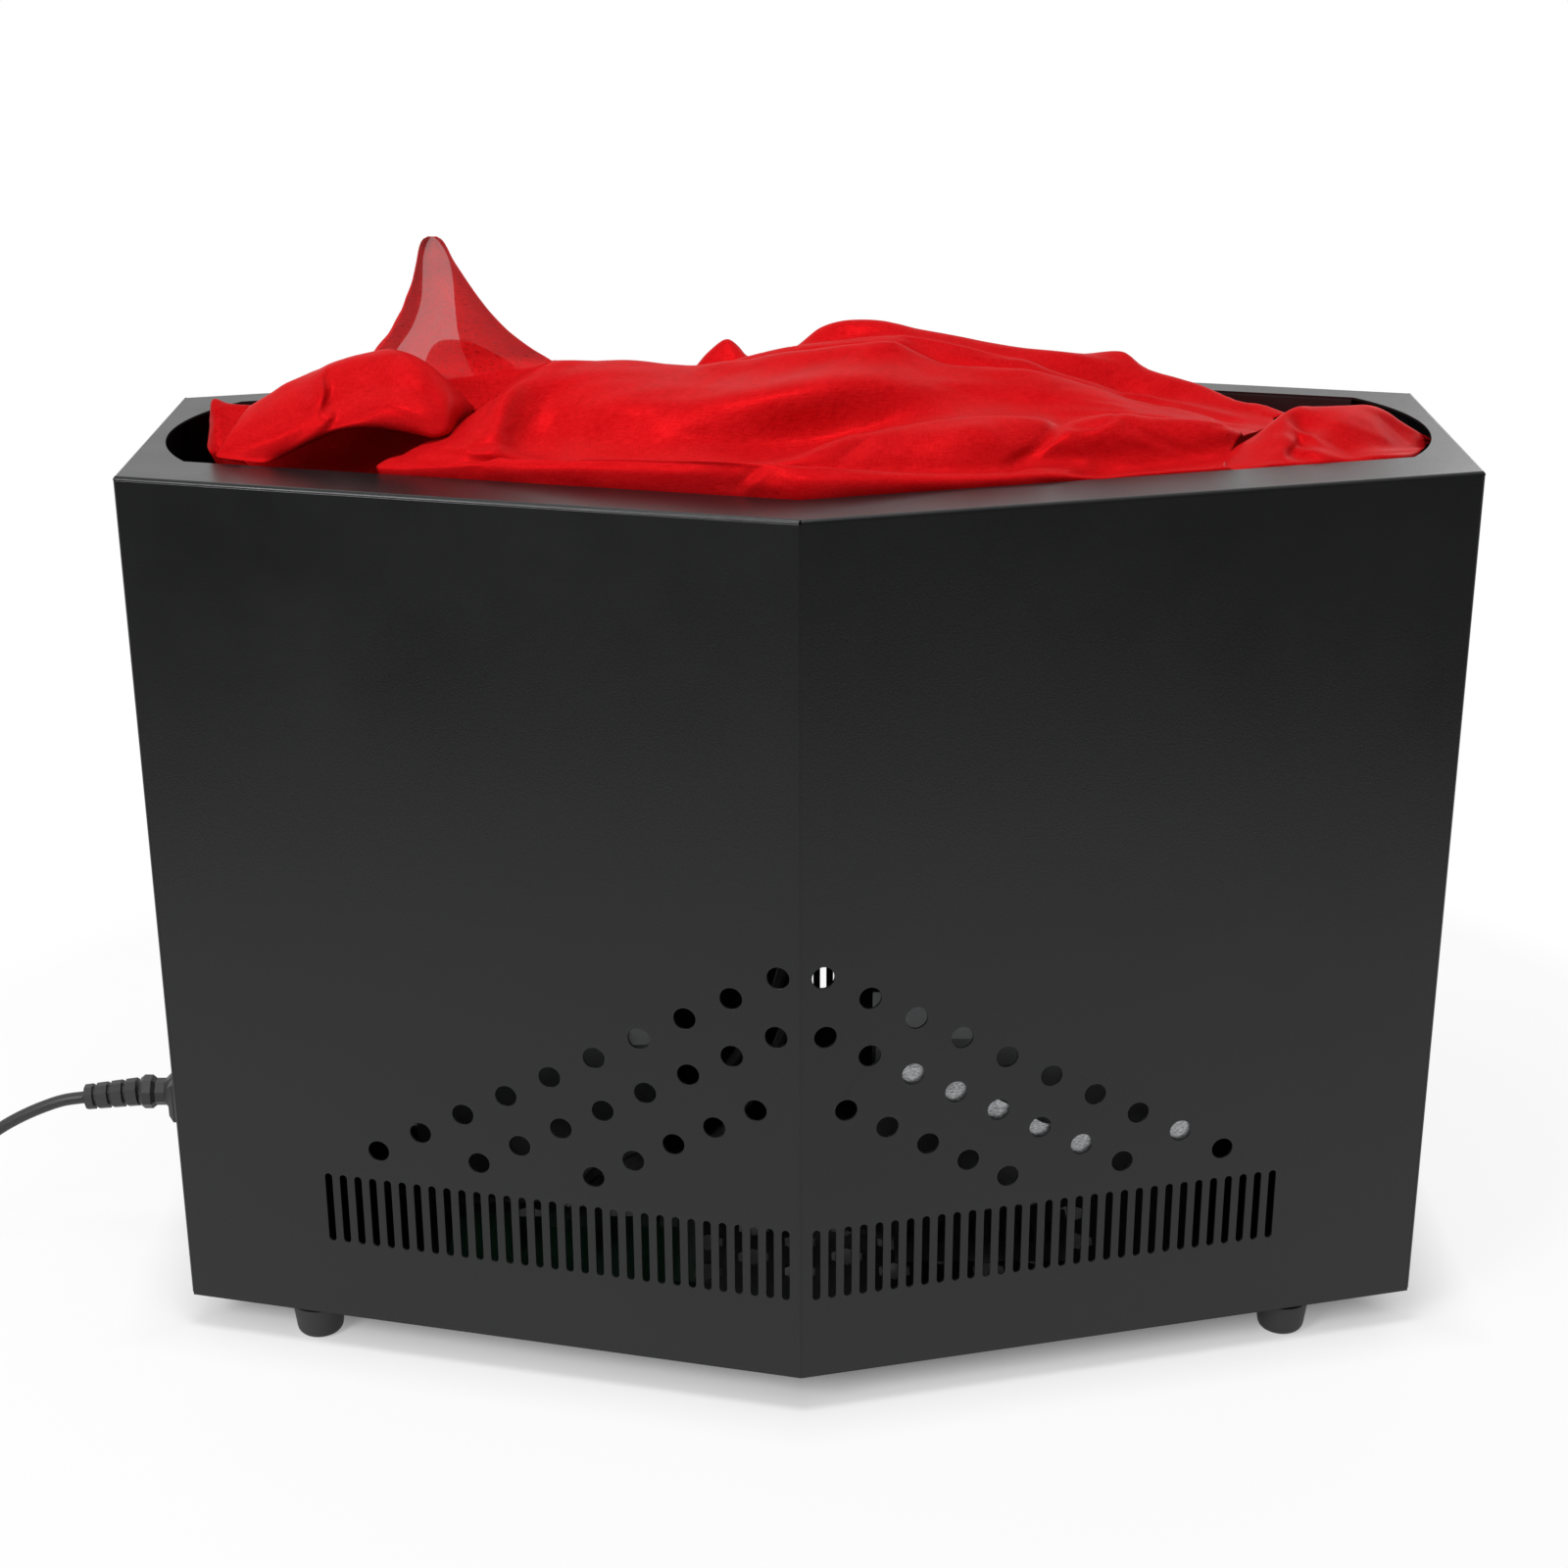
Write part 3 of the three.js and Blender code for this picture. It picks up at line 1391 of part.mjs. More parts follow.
// Power cord. The stretch leaves the strain relief, sags to the floor and runs into the coil.
const coilPitch = cord.diameter + coil.gap;
const coilTurnsEachWay = coil.turns / 2;
const coilOuter = coil.middleRadius + (coilPitch * coilTurnsEachWay) / 2;
const coilLow = tie.thickness + SEAT_GAP + cord.diameter / 2;
reliefGroup.updateWorldMatrix(true, false);
const cordExit = reliefGroup.localToWorld(new THREE.Vector3(relief.length + SEAT_GAP, 0, 0));
const cordRoute = cordShares.map(([out, down]) => [
  cordExit.x - cord.run * out,
  0,
  THREE.MathUtils.lerp(cordExit.z, coilLow, down),
]);
addPart(light, "power_cord", tubeAlong(cordRoute, cord), "cordSheath");

// The coil spirals in, climbs a layer in the half turn where the spiral reverses, and spirals out again.
const coilCentre = [cordExit.x - cord.run - SEAT_GAP - cord.diameter, coilOuter];
class CoilCurve extends THREE.Curve {
  constructor() {
    super();
    this.turned = coil.turns * 2 * Math.PI * coil.middleRadius;
    this.whole = this.turned + 2 * cord.diameter;
    this.arcLengthDivisions = coil.stepsPerTurn * Math.ceil(coil.turns) * 8;
  }

  getPoint(t, target = new THREE.Vector3()) {
    const along = t * this.whole - cord.diameter;
    const inTurns = THREE.MathUtils.clamp(along / this.turned, 0, 1) * coil.turns;
    const past = along - THREE.MathUtils.clamp(along, 0, this.turned);
    const radius = coilOuter - coilPitch * (coilTurnsEachWay - Math.abs(inTurns - coilTurnsEachWay));
    const angle = -Math.PI / 2 - inTurns * 2 * Math.PI;
    const climb = smooth((inTurns - coilTurnsEachWay) * 2 + 0.5);
    target.set(radius * Math.cos(angle), radius * Math.sin(angle), coilLow + coilPitch * climb);
    target.x += past * Math.sin(angle) + coilCentre[0];
    target.y += -past * Math.cos(angle) + coilCentre[1];
    return target;
  }
}
const coilCurve = new CoilCurve();
const coilSteps = Math.round(coil.turns * coil.stepsPerTurn) + 2;
addPart(light, "cord_coil", tube(coilCurve, cord.diameter, coil.sides, coilSteps), "cordSheath");

// The least gap that the coil leaves to itself, measured on points along it more than half a turn apart
function coilLeastGap() {
  const points = coilCurve.getSpacedPoints(coilSteps * 4);
  const apart = coil.stepsPerTurn * 2;
  let least = Infinity;
  for (let i = 0; i < points.length; i++) {
    for (let j = i + apart; j < points.length; j++) {
      least = Math.min(least, points[i].distanceTo(points[j]));
    }
  }
  return least - cord.diameter;
}
console.log("coil: least gap to itself", coilLeastGap().toFixed(2), "mm");
console.log("coil: length", coilCurve.getLength().toFixed(0), "mm");
console.log("coil ends at", coilCurve.getPoint(1).toArray().map((value) => value.toFixed(3)).join(", "));
const coilEnd = coilCurve.getPoint(1);
const plugLevel = plug.height / 2;
const tailRoute = tailShares.map(([out, up]) => [
  coilEnd.x,
  coilEnd.y + SEAT_GAP + cord.tailRun * out,
  THREE.MathUtils.lerp(coilEnd.z, plugLevel, up),
]);
const freeLength = routeOf(cordRoute).getLength() + coilCurve.getLength() + routeOf(tailRoute).getLength();
console.log("cord length", freeLength.toFixed(0), "mm");

// A tie round the bundle of turns, at the coil's far side
function coilTie() {
  const spare = tie.slack + cord.diameter / 2;
  const inner = coilOuter - coilPitch * coilTurnsEachWay - spare;
  const outer = coilOuter + spare;
  const low = tie.thickness;
  const high = coilLow + coilPitch + spare;
  const shape = rectangle(inner - tie.thickness, outer + tie.thickness, 0, high + tie.thickness);
  shape.holes.push(rectanglePath(inner, outer, low, high));
  const band = slab(shape, -tie.width / 2, tie.width / 2);
  return band.rotateX(Math.PI / 2).rotateZ(Math.PI / 2).translate(coilCentre[0], coilCentre[1], 0);
}
addPart(light, "coil_tie", coilTie(), "blackPlastic");
addPart(light, "cord_tail", tubeAlong(tailRoute, cord), "cordSheath");

// Mains plug, lying on the floor beside the coil with its pins pointing to the back
function mainsPlug() {
  const flat = rectangle(
    plug.chamfer - plug.width / 2,
    plug.width / 2 - plug.chamfer,
    plug.chamfer - plug.height / 2,
    plug.height / 2 - plug.chamfer,
  );
  const body = new THREE.ExtrudeGeometry(flat, {
    depth: plug.length - 2 * plug.chamfer,
    bevelThickness: plug.chamfer,
    bevelSize: plug.chamfer,
    bevelSegments: 1,
  });
  body.translate(0, 0, plug.reliefLength + plug.chamfer);
  const sleeve = turned(
    [
      [0, 0],
      [plug.reliefTip / 2, 0],
      [plug.relief / 2, plug.reliefLength],
      [plug.relief / 2, plug.reliefLength + plug.chamfer],
      [0, plug.reliefLength + plug.chamfer],
    ],
    plug.sides,
  );
  const face = plug.reliefLength + plug.length;
  const blades = [-1, 1].map((side) => {
    const middle = (side * plug.bladeSpacing) / 2;
    return boxBetween(
      [middle - plug.bladeThickness / 2, 0, face - plug.chamfer],
      [middle + plug.bladeThickness / 2, plug.blade, face + plug.bladeLength],
    );
  });
  const earth = post(plug.earth, face - plug.chamfer, face + plug.earthLength, plug.sides);
  return join(body, sleeve, ...blades, earth.translate(0, -plug.earthDrop, 0)).rotateX(-Math.PI / 2);
}
const plugMesh = addPart(light, "mains_plug", mainsPlug(), "blackPlastic");
const tailEnd = tailRoute[tailRoute.length - 1];
plugMesh.position.set(tailEnd[0], tailEnd[1] + SEAT_GAP, plugLevel);

export default light;
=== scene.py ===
"""Silk flame effect light: looks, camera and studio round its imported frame. Sizes in mm, scaled to metres."""

import json
import math

import bmesh
import bpy
import numpy as np
from mathutils import Matrix, Vector, noise


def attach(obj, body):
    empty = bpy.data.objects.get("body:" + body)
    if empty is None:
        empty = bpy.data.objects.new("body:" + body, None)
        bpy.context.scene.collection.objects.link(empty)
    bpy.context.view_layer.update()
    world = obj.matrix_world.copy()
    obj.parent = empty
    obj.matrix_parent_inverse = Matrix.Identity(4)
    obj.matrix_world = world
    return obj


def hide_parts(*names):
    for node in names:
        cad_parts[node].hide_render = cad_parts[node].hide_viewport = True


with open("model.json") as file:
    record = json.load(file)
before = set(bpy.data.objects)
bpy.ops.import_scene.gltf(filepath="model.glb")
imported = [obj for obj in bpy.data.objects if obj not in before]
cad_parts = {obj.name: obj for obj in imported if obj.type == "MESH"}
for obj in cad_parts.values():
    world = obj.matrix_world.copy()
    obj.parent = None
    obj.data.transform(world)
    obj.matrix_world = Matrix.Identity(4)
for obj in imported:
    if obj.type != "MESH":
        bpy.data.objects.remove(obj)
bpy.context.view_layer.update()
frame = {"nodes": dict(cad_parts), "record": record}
scene = bpy.context.scene
MM = 0.001


# Arithmetic on the outputs of shader nodes
class Flow:
    def __init__(self, nodes, socket):
        self.nodes = nodes
        self.socket = socket

    def __add__(self, other):
        return self.nodes.maths("ADD", self, other)

    def __rsub__(self, other):
        return self.nodes.maths("SUBTRACT", other, self)

    def __mul__(self, other):
        return self.nodes.maths("MULTIPLY", self, other)


# The nodes of one shader, made and linked by short methods
class Nodes:
    def __init__(self, tree):
        self.tree = tree

    def plug(self, socket, value):
        if isinstance(value, Flow):
            self.tree.links.new(value.socket, socket)
        else:
            socket.default_value = value

    def node(self, kind, settings=None, *values, out=0, **named):
        """A node of a type, its settings first, then the values or links of its sockets."""
        made = self.tree.nodes.new(kind)
        for key, value in (settings or {}).items():
            setattr(made, key, value)
        for socket, value in zip(made.inputs, values):
            self.plug(socket, value)
        for key, value in named.items():
            self.plug(made.inputs[key.replace("_", " ")], value)
        return Flow(self, made.outputs[out])

    def maths(self, operation, *values):
        return self.node("ShaderNodeMath", {"operation": operation}, *values)

    def place(self, source="Object", scale=(1, 1, 1)):
        start = self.node("ShaderNodeTexCoord", out=source)
        return self.node("ShaderNodeMapping", None, Vector=start, Scale=scale)

    def speckle(self, place, scale, detail=2.0, roughness=0.5):
        return self.node(
            "ShaderNodeTexNoise", None, Vector=place, Scale=scale, Detail=detail, Roughness=roughness
        )

    def remap(self, value, low, high, to_low, to_high):
        return self.node("ShaderNodeMapRange", {"clamp": True}, value, low, high, to_low, to_high)

    def tint(self, share, dark, light):
        """A colour between two; the colour sockets come after those of the node's other data types."""
        mix = self.node("ShaderNodeMix", {"data_type": "RGBA"}, share, out=2)
        first, second = mix.socket.node.inputs[6:8]
        self.plug(first, (*dark, 1))
        self.plug(second, (*light, 1))
        return mix

    def bump(self, height, depth, strength=1.0):
        return self.node("ShaderNodeBump", None, Strength=strength, Distance=depth, Height=height)

    def mixed(self, share, first, second):
        return self.node("ShaderNodeMixShader", None, share, first, second)


# One finish: a material with a Principled shader
class Finish(Nodes):
    def __init__(self, name, color, roughness, **constants):
        self.material = bpy.data.materials.new(name)
        self.material.use_nodes = True
        self.material.diffuse_color = (*color, 1)
        super().__init__(self.material.node_tree)
        self.shader = self.tree.nodes["Principled BSDF"]
        self.principled = Flow(self, self.shader.outputs["BSDF"])
        self.set(Base_Color=(*color, 1), Roughness=roughness, **constants)

    def set(self, **sockets):
        for key, value in sockets.items():
            self.plug(self.shader.inputs[key.replace("_", " ")], value)

    def show(self, surface):
        self.plug(self.tree.nodes["Material Output"].inputs["Surface"], surface)


def grained(name, color, roughness, grain, depth, mottle=0.12, wear=0.06, **constants):
    """A finish whose grain is this many metres across and deep, with slight changes of tone and gloss."""
    finish = Finish(name, color, roughness, **constants)
    place = finish.place()
    fine = finish.speckle(place, 1 / grain, 3)
    broad = finish.speckle(place, 14, 3, 0.6)
    tone = finish.remap(broad * 0.7 + fine * 0.3, 0.35, 0.65, 0, 1)
    dark = tuple(c * (1 - mottle) for c in color)
    light = tuple(min(c * (1 + mottle), 1) for c in color)
    finish.set(
        Base_Color=finish.tint(tone, dark, light),
        Roughness=finish.remap(broad, 0.3, 0.7, roughness - wear, roughness + wear),
        Normal=finish.bump(fine, depth),
    )
    return finish


powder_coat = grained(
    "powder_coat", (0.0045, 0.0047, 0.0052), 0.32, 0.0009, 0.00006, 0.1, 0.04, Specular_IOR_Level=0.4
)
rubber = grained("foot_rubber", (0.018, 0.018, 0.0185), 0.62, 0.0006, 0.00006)
black_plastic = grained("black_moulding", (0.022, 0.0222, 0.0225), 0.5, 0.0005, 0.00005)
fan_plastic = grained("fan_moulding", (0.012, 0.012, 0.0125), 0.4, 0.0012, 0.00002)
switch_plastic = grained("switch_moulding", (0.012, 0.012, 0.0125), 0.22, 0.002, 0.00001, 0.05, 0.03)
cord_sheath = grained("cord_sheath", (0.021, 0.021, 0.0215), 0.45, 0.0008, 0.00004)
zinc_plate = grained("zinc_plate", (0.55, 0.54, 0.5), 0.32, 0.0006, 0.00001, Metallic=1.0)
bare_aluminium = grained("bare_aluminium", (0.62, 0.63, 0.64), 0.36, 0.0008, 0.00001, Metallic=1.0)
plain_case = grained("plain_case", (0.5, 0.51, 0.52), 0.42, 0.0008, 0.00001, Metallic=1.0)
led_white = grained("led_white", (0.72, 0.72, 0.69), 0.5, 0.0006, 0.00001, 0.04)
board_green = grained("board_green", (0.004, 0.022, 0.012), 0.35, 0.0012, 0.00002)


def make_galvanised():
    """Galvanised sheet: flakes of zinc and fine rolled streaks whose brightness and gloss differ."""
    finish = Finish("galvanised", (0.38, 0.39, 0.4), 0.42, Metallic=0.7)
    flake = finish.node("ShaderNodeTexVoronoi", None, Vector=finish.place(), Scale=95.0, out=1)
    streak = finish.speckle(finish.place("Object", (650, 650, 1700)), 1.0, 3, 0.6)
    share = finish.node("ShaderNodeSeparateColor", None, flake) * 0.3
    share = share + finish.remap(streak, 0.36, 0.64, 0, 0.7)
    finish.set(
        Base_Color=finish.tint(share, (0.1, 0.102, 0.106), (0.58, 0.59, 0.6)),
        Roughness=finish.remap(share, 0, 1, 0.3, 0.5),
    )
    return finish


galvanised = make_galvanised()


def make_clear_lens():
    finish = Finish("clear_lens", (0.9, 0.92, 0.93), 0.12, IOR=1.49, Transmission_Weight=1.0)
    ribs = finish.node(
        "ShaderNodeTexWave", {"bands_direction": "Z"}, Vector=finish.place(), Scale=300.0, Distortion=0.0
    )
    finish.set(Normal=finish.bump(ribs, 0.0002))
    return finish


clear_lens = make_clear_lens()


def make_silk(name, open_share, close_share):
    """Thin plain-woven silk: slubbed threads both ways, satin gloss, light through it, sheer in one layer."""
    finish = Finish(name, (0.7, 0.004, 0.007), 0.45, Metallic=0.14, Specular_IOR_Level=0.04)
    finish.set(Specular_Tint=(1.0, 0.03, 0.03, 1), Sheen_Weight=0.02, Sheen_Tint=(1.0, 0.2, 0.2, 1))
    warp = finish.speckle(finish.place("UV", (1800, 280, 1)), 1.0, 2)
    weft = finish.speckle(finish.place("UV", (240, 1600, 1)), 1.0, 2)
    broad = finish.speckle(finish.place("UV", (60, 60, 1)), 1.0, 3)
    thread = warp * 0.5 + weft * 0.5
    tone = finish.remap(thread * 0.75 + broad * 0.25, 0.34, 0.66, 0, 1)
    finish.set(
        Base_Color=finish.tint(tone, (0.5, 0.002, 0.004), (0.74, 0.011, 0.014)),
        Roughness=finish.remap(broad, 0.3, 0.7, 0.36, 0.48),
        Normal=finish.bump(thread, 0.00008, 0.7),
    )
    glow = finish.node("ShaderNodeBsdfTranslucent", None, Color=(0.69, 0.005, 0.008, 1))
    cloth = finish.mixed(0.18, finish.principled, glow)
    closed = finish.remap(thread, 0.3, 0.7, open_share, close_share)
    finish.show(finish.mixed(closed, finish.node("ShaderNodeBsdfTransparent"), cloth))
    return finish


folded_silk = make_silk("folded_silk", 0.84, 0.88)
sheer_silk = make_silk("sheer_silk", 0.61, 0.66)

# Light finish for every CAD node that stays
node_finishes = {
    "powder_coat": powder_coat,
    "rubber": rubber,
    "zinc_plate": zinc_plate,
    "galvanised": galvanised,
    "supply_case": plain_case,
    "black_plastic": black_plastic,
    "fan_blade_plastic": fan_plastic,
    "switch_plastic": switch_plastic,
    "bare_aluminium": bare_aluminium,
    "led_board": led_white,
    "clear_lens": clear_lens,
    "circuit_board": board_green,
    "red_silk": folded_silk,
    "cord_sheath": cord_sheath,
}
for part in frame["record"]["subparts"]:
    node = frame["nodes"][part["node"]]
    node.data.materials.clear()
    node.data.materials.append(node_finishes[part["material_slot"]].material)

# Camera at the photograph's place
EYE = Vector((-5.55, -1170.13, 713.24))
PITCH, YAW, ROLL = 0.3758, -0.0012, -0.0039
forward = Vector((math.sin(YAW) * math.cos(PITCH), math.cos(YAW) * math.cos(PITCH), -math.sin(PITCH)))
level = Vector((math.cos(YAW), -math.sin(YAW), 0))
upward = level.cross(forward)
right = level * math.cos(ROLL) + upward * math.sin(ROLL)
above = upward * math.cos(ROLL) - level * math.sin(ROLL)


def axes_at(origin, x_axis, y_axis, z_axis):
    """Matrix with its origin at a place and its axes along three directions."""
    return Matrix.Translation(origin) @ Matrix((x_axis, y_axis, z_axis)).transposed().to_4x4()


camera_data = bpy.data.cameras.new("camera")
camera_data.sensor_width = 36
camera_data.lens = 61.42
camera_data.clip_end = 20
camera = bpy.data.objects.new("camera", camera_data)
camera.matrix_world = axes_at(EYE * MM, right, above, -forward)
scene.collection.objects.link(camera)
scene.camera = camera


def add_piece(mesh, name, finish, replaced=(), smooth=False):
    """Shows a mesh, given in place in metres, as one piece that rides on the housing."""
    mesh.materials.clear()
    mesh.materials.append(finish.material)
    if smooth:
        mesh.shade_smooth()
    piece = bpy.data.objects.new(name, mesh)
    scene.collection.objects.link(piece)
    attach(piece, "housing")
    if replaced:
        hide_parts(*replaced)
    return piece


def mesh_from(bm, name, recalculate=True):
    if recalculate:
        bmesh.ops.recalc_face_normals(bm, faces=bm.faces)
    mesh = bpy.data.meshes.new(name)
    bm.to_mesh(mesh)
    bm.free()
    return mesh


def shade_by_angle(mesh, degrees=35):
    """Smooth faces, kept crisp at edges that turn more than this."""
    mesh.shade_smooth()
    mesh.set_sharp_from_angle(angle=math.radians(degrees))
    return mesh


def through(points, steps):
    """A centripetal Catmull-Rom line through points; each may also be a whole row of points."""
    p = np.asarray(points, float)
    p = np.concatenate([2 * p[:1] - p[1:2], p, 2 * p[-1:] - p[-2:-1]])
    gaps = np.maximum(np.linalg.norm(np.diff(p, axis=0), axis=-1, keepdims=True), 1e-6) ** 0.5
    line = []
    for i in range(1, len(p) - 2):
        before, span, after = gaps[i - 1 : i + 2]
        a, b, c, d = p[i - 1 : i + 3]
        leave = ((b - a) / before - (c - a) / (before + span) + (c - b) / span) * span
        arrive = ((c - b) / span - (d - b) / (span + after) + (d - c) / after) * span
        for k in range(steps):
            t = k / steps
            bend = 3 * (c - b) - 2 * leave - arrive
            line.append(b + t * leave + t * t * bend + t**3 * (2 * (b - c) + leave + arrive))
    line.append(p[-2])
    return np.array(line)


def between(a, b, share):
    return a + (b - a) * share


def smoothstep(share):
    share = min(max(share, 0.0), 1.0)
    return share * share * (3 - 2 * share)


# Power cord: out of the strain relief, down to the floor and into its coil
CORD = 6.0
EXIT = Vector((-351.34, 0, 87.03))
RUN, COIL_GAP, COIL_LOW, COIL_PITCH = 147.3, 0.3, 4.5, 6.7
cord_shares = [
    (0, 0), (0.079, 0.022), (0.16, 0.074), (0.235, 0.138), (0.303, 0.211), (0.384, 0.32), (0.466, 0.45),
    (0.541, 0.592), (0.615, 0.735), (0.697, 0.866), (0.79, 0.96), (0.9, 0.996), (1, 1),
]
stretch = [Vector((EXIT.x - RUN * out, 0, between(EXIT.z, COIL_LOW, down))) for out, down in cord_shares]
TURNS, TURN_STEPS, MIDDLE = 7.25, 48, 34.0
coil_outer = MIDDLE + COIL_PITCH * TURNS / 4
coil_centre = Vector((EXIT.x - RUN - COIL_GAP - CORD, coil_outer, 0))
coil_line = []
for i in range(int(TURNS * TURN_STEPS) + 1):
    turn = i / TURN_STEPS
    radius = coil_outer - COIL_PITCH * (TURNS / 2 - abs(turn - TURNS / 2))
    angle = -math.pi / 2 - turn * 2 * math.pi
    climb = smoothstep((turn - TURNS / 2) * 2 + 0.5)
    coil_line.append(
        coil_centre
        + Vector((radius * math.cos(angle), radius * math.sin(angle), COIL_LOW + COIL_PITCH * climb))
    )
tail_start = coil_line[-1] + Vector((0, CORD, 0))
TAIL, PLUG_LEVEL = 44.3, 12.5
tail = [
    tail_start + Vector((0, TAIL * out, (PLUG_LEVEL - tail_start.z) * up))
    for out, up in [(0, 0), (0.22, 0.08), (0.49, 0.54), (0.76, 0.92), (1, 1)]
]
route = [Vector(p) for p in (*through(stretch, 8), *coil_line, *through(tail, 5))]


def solid_of_curve(curve, lines, closed):
    """What a curve makes of a straight-sided spline for each line of points, its seams closed."""
    for line in lines:
        spline = curve.splines.new("POLY")
        spline.points.add(len(line) - 1)
        spline.use_cyclic_u = closed
        for spot, point in zip(spline.points, line):
            spot.co = (*point, 1)
    holder = bpy.data.objects.new(curve.name, curve)
    scene.collection.objects.link(holder)
    evaluated = holder.evaluated_get(bpy.context.evaluated_depsgraph_get())
    mesh = bpy.data.meshes.new_from_object(evaluated)
    bpy.data.objects.remove(holder)
    bm = bmesh.new()
    bm.from_mesh(mesh)
    bmesh.ops.remove_doubles(bm, verts=bm.verts, dist=0.001)
    return bm


def tube_mesh(name, line, diameter):
    """A closed round tube along a line of points in millimetres."""
    curve = bpy.data.curves.new(name, "CURVE")
    curve.dimensions = "3D"
    curve.bevel_depth = diameter / 2
    curve.bevel_resolution = 4
    curve.use_fill_caps = True
    bm = solid_of_curve(curve, [line], closed=False)
    bmesh.ops.scale(bm, verts=bm.verts, vec=(MM, MM, MM))
    return mesh_from(bm, name)


cord = add_piece(
    tube_mesh("mains_cord", route, CORD),
    "mains_cord",
    cord_sheath,
    ("power_cord", "cord_coil", "cord_tail"),
    smooth=True,
)

# Housing plan: a six-sided prism
LENGTH, DEPTH, END_WIDTH, HEIGHT, SHEET, BEND = 580.0, 287.4, 144.0, 400.0, 1.2, 1.7
LOW = 20.5
TOP = LOW + HEIGHT
SLOPE = (DEPTH - END_WIDTH) / LENGTH
TURN = math.atan(SLOPE)
PANEL = LENGTH / 2 / math.cos(TURN)
ridge_trim = BEND * math.tan(TURN)
corner_trim = BEND * math.tan((math.pi / 2 - TURN) / 2)


def flat_plate(name, outline, holes, thickness, edge, matrix):
    """A sheet plate with softened edges: outline and holes in its own plane, outer face on that plane."""
    curve = bpy.data.curves.new(name, "CURVE")
    curve.dimensions = "2D"
    curve.fill_mode = "BOTH"
    curve.extrude = thickness / 2 - edge
    curve.bevel_depth = edge
    curve.bevel_resolution = 1
    curve.offset = -edge
    lines = [[(x, y, 0) for x, y in loop] for loop in (outline, *holes)]
    bm = solid_of_curve(curve, lines, closed=True)
    bmesh.ops.translate(bm, verts=bm.verts, vec=(0, 0, -thickness / 2))
    bmesh.ops.transform(bm, matrix=matrix, verts=bm.verts)
    bmesh.ops.scale(bm, verts=bm.verts, vec=(MM, MM, MM))
    return shade_by_angle(mesh_from(bm, name), 20)


def facing(origin, along, inwards=0.0):
    """Matrix of an upright plate: its X runs along, its Y up and its Z outwards, set back from the origin."""
    along, up = Vector((*along, 0)), Vector((0, 0, 1))
    outward = along.cross(up)
    return axes_at(Vector(origin) - outward * inwards, along, up, outward)


def round_loop(x, y, diameter, count=28):
    return [
        (
            x + diameter / 2 * math.cos(2 * math.pi * k / count),
            y + diameter / 2 * math.sin(2 * math.pi * k / count),
        )
        for k in range(count)
    ]


def slot_loop(x, low, high, width, count=6):
    radius = width / 2
    loop = []
    for end, start in ((high - radius, 0), (low + radius, math.pi)):
        for k in range(count + 1):
            angle = start + math.pi * k / count
            loop.append((x + radius * math.cos(angle), end + radius * math.sin(angle)))
    return loop


def box_loop(low_x, high_x, low_y, high_y):
    return [(low_x, low_y), (high_x, low_y), (high_x, high_y), (low_x, high_y)]


# Vents of a slanted panel: rows of round holes that fall away from the ridge, over a row of slots.
# A row of holes is its count, its gap from the ridge, its pitch along, its height and its drop at each hole.
HOLE, SLOT_WIDTH, SLOT_LOW, SLOT_HIGH = 10.0, 3.5, 39.0, 74.6
SLOTS, FIRST_SLOT, SLOT_PITCH = 31, 7.05, 7.23
hole_rows = [
    (10, 9.98, 20.91, 197.9, 12.03),
    (8, 10.94, 19.83, 169.64, 11.41),
    (5, 20.35, 18.78, 133.02, 10.78),
]


def vent_loops(hand):
    loops = []
    for count, ridge_gap, pitch_along, height, drop in hole_rows:
        for i in range(count):
            loops.append(round_loop((ridge_gap + pitch_along * i) * hand, height - drop * i, HOLE))
    for i in range(SLOTS):
        loops.append(slot_loop((FIRST_SLOT + SLOT_PITCH * i) * hand, SLOT_LOW, SLOT_HIGH, SLOT_WIDTH))
    return loops


cos_turn, sin_turn = math.cos(TURN), math.sin(TURN)
PANEL_EDGE = 0.2
slants = {
    "front_left": ((0, -DEPTH / 2, LOW), (cos_turn, -sin_turn), -1),
    "front_right": ((0, -DEPTH / 2, LOW), (cos_turn, sin_turn), 1),
    "rear_left": ((0, DEPTH / 2, LOW), (-cos_turn, -sin_turn), 1),
    "rear_right": ((0, DEPTH / 2, LOW), (-cos_turn, sin_turn), -1),
}
for name, (ridge, along, hand) in slants.items():
    ends = sorted((ridge_trim * hand, (PANEL - corner_trim) * hand))
    outline = box_loop(*ends, 0, HEIGHT - BEND)
    plate = flat_plate(name + "_sheet", outline, vent_loops(hand), SHEET, PANEL_EDGE, facing(ridge, along))
    add_piece(plate, name + "_sheet", powder_coat, (name + "_panel",))

# Black sheets inside the rear slots, put there as painted shade that darkens what is seen through them
SCREEN, SCREEN_EDGE, SCREEN_GAP, SCREEN_LOW, SCREEN_HIGH, SCREEN_END = 0.5, 0.05, 0.1, 34.0, 80.0, 226.0
for name, hand, start in (("rear_left", 1, 4.0), ("rear_right", -1, 24.0)):
    ridge, along, _ = slants[name]
    outline = box_loop(*sorted((start * hand, SCREEN_END * hand)), SCREEN_LOW, SCREEN_HIGH)
    place = facing(ridge, along, SHEET + SCREEN_GAP)
    screen = flat_plate(name + "_screen", outline, [], SCREEN, SCREEN_EDGE, place)
    add_piece(screen, name + "_slot_screen", black_plastic)

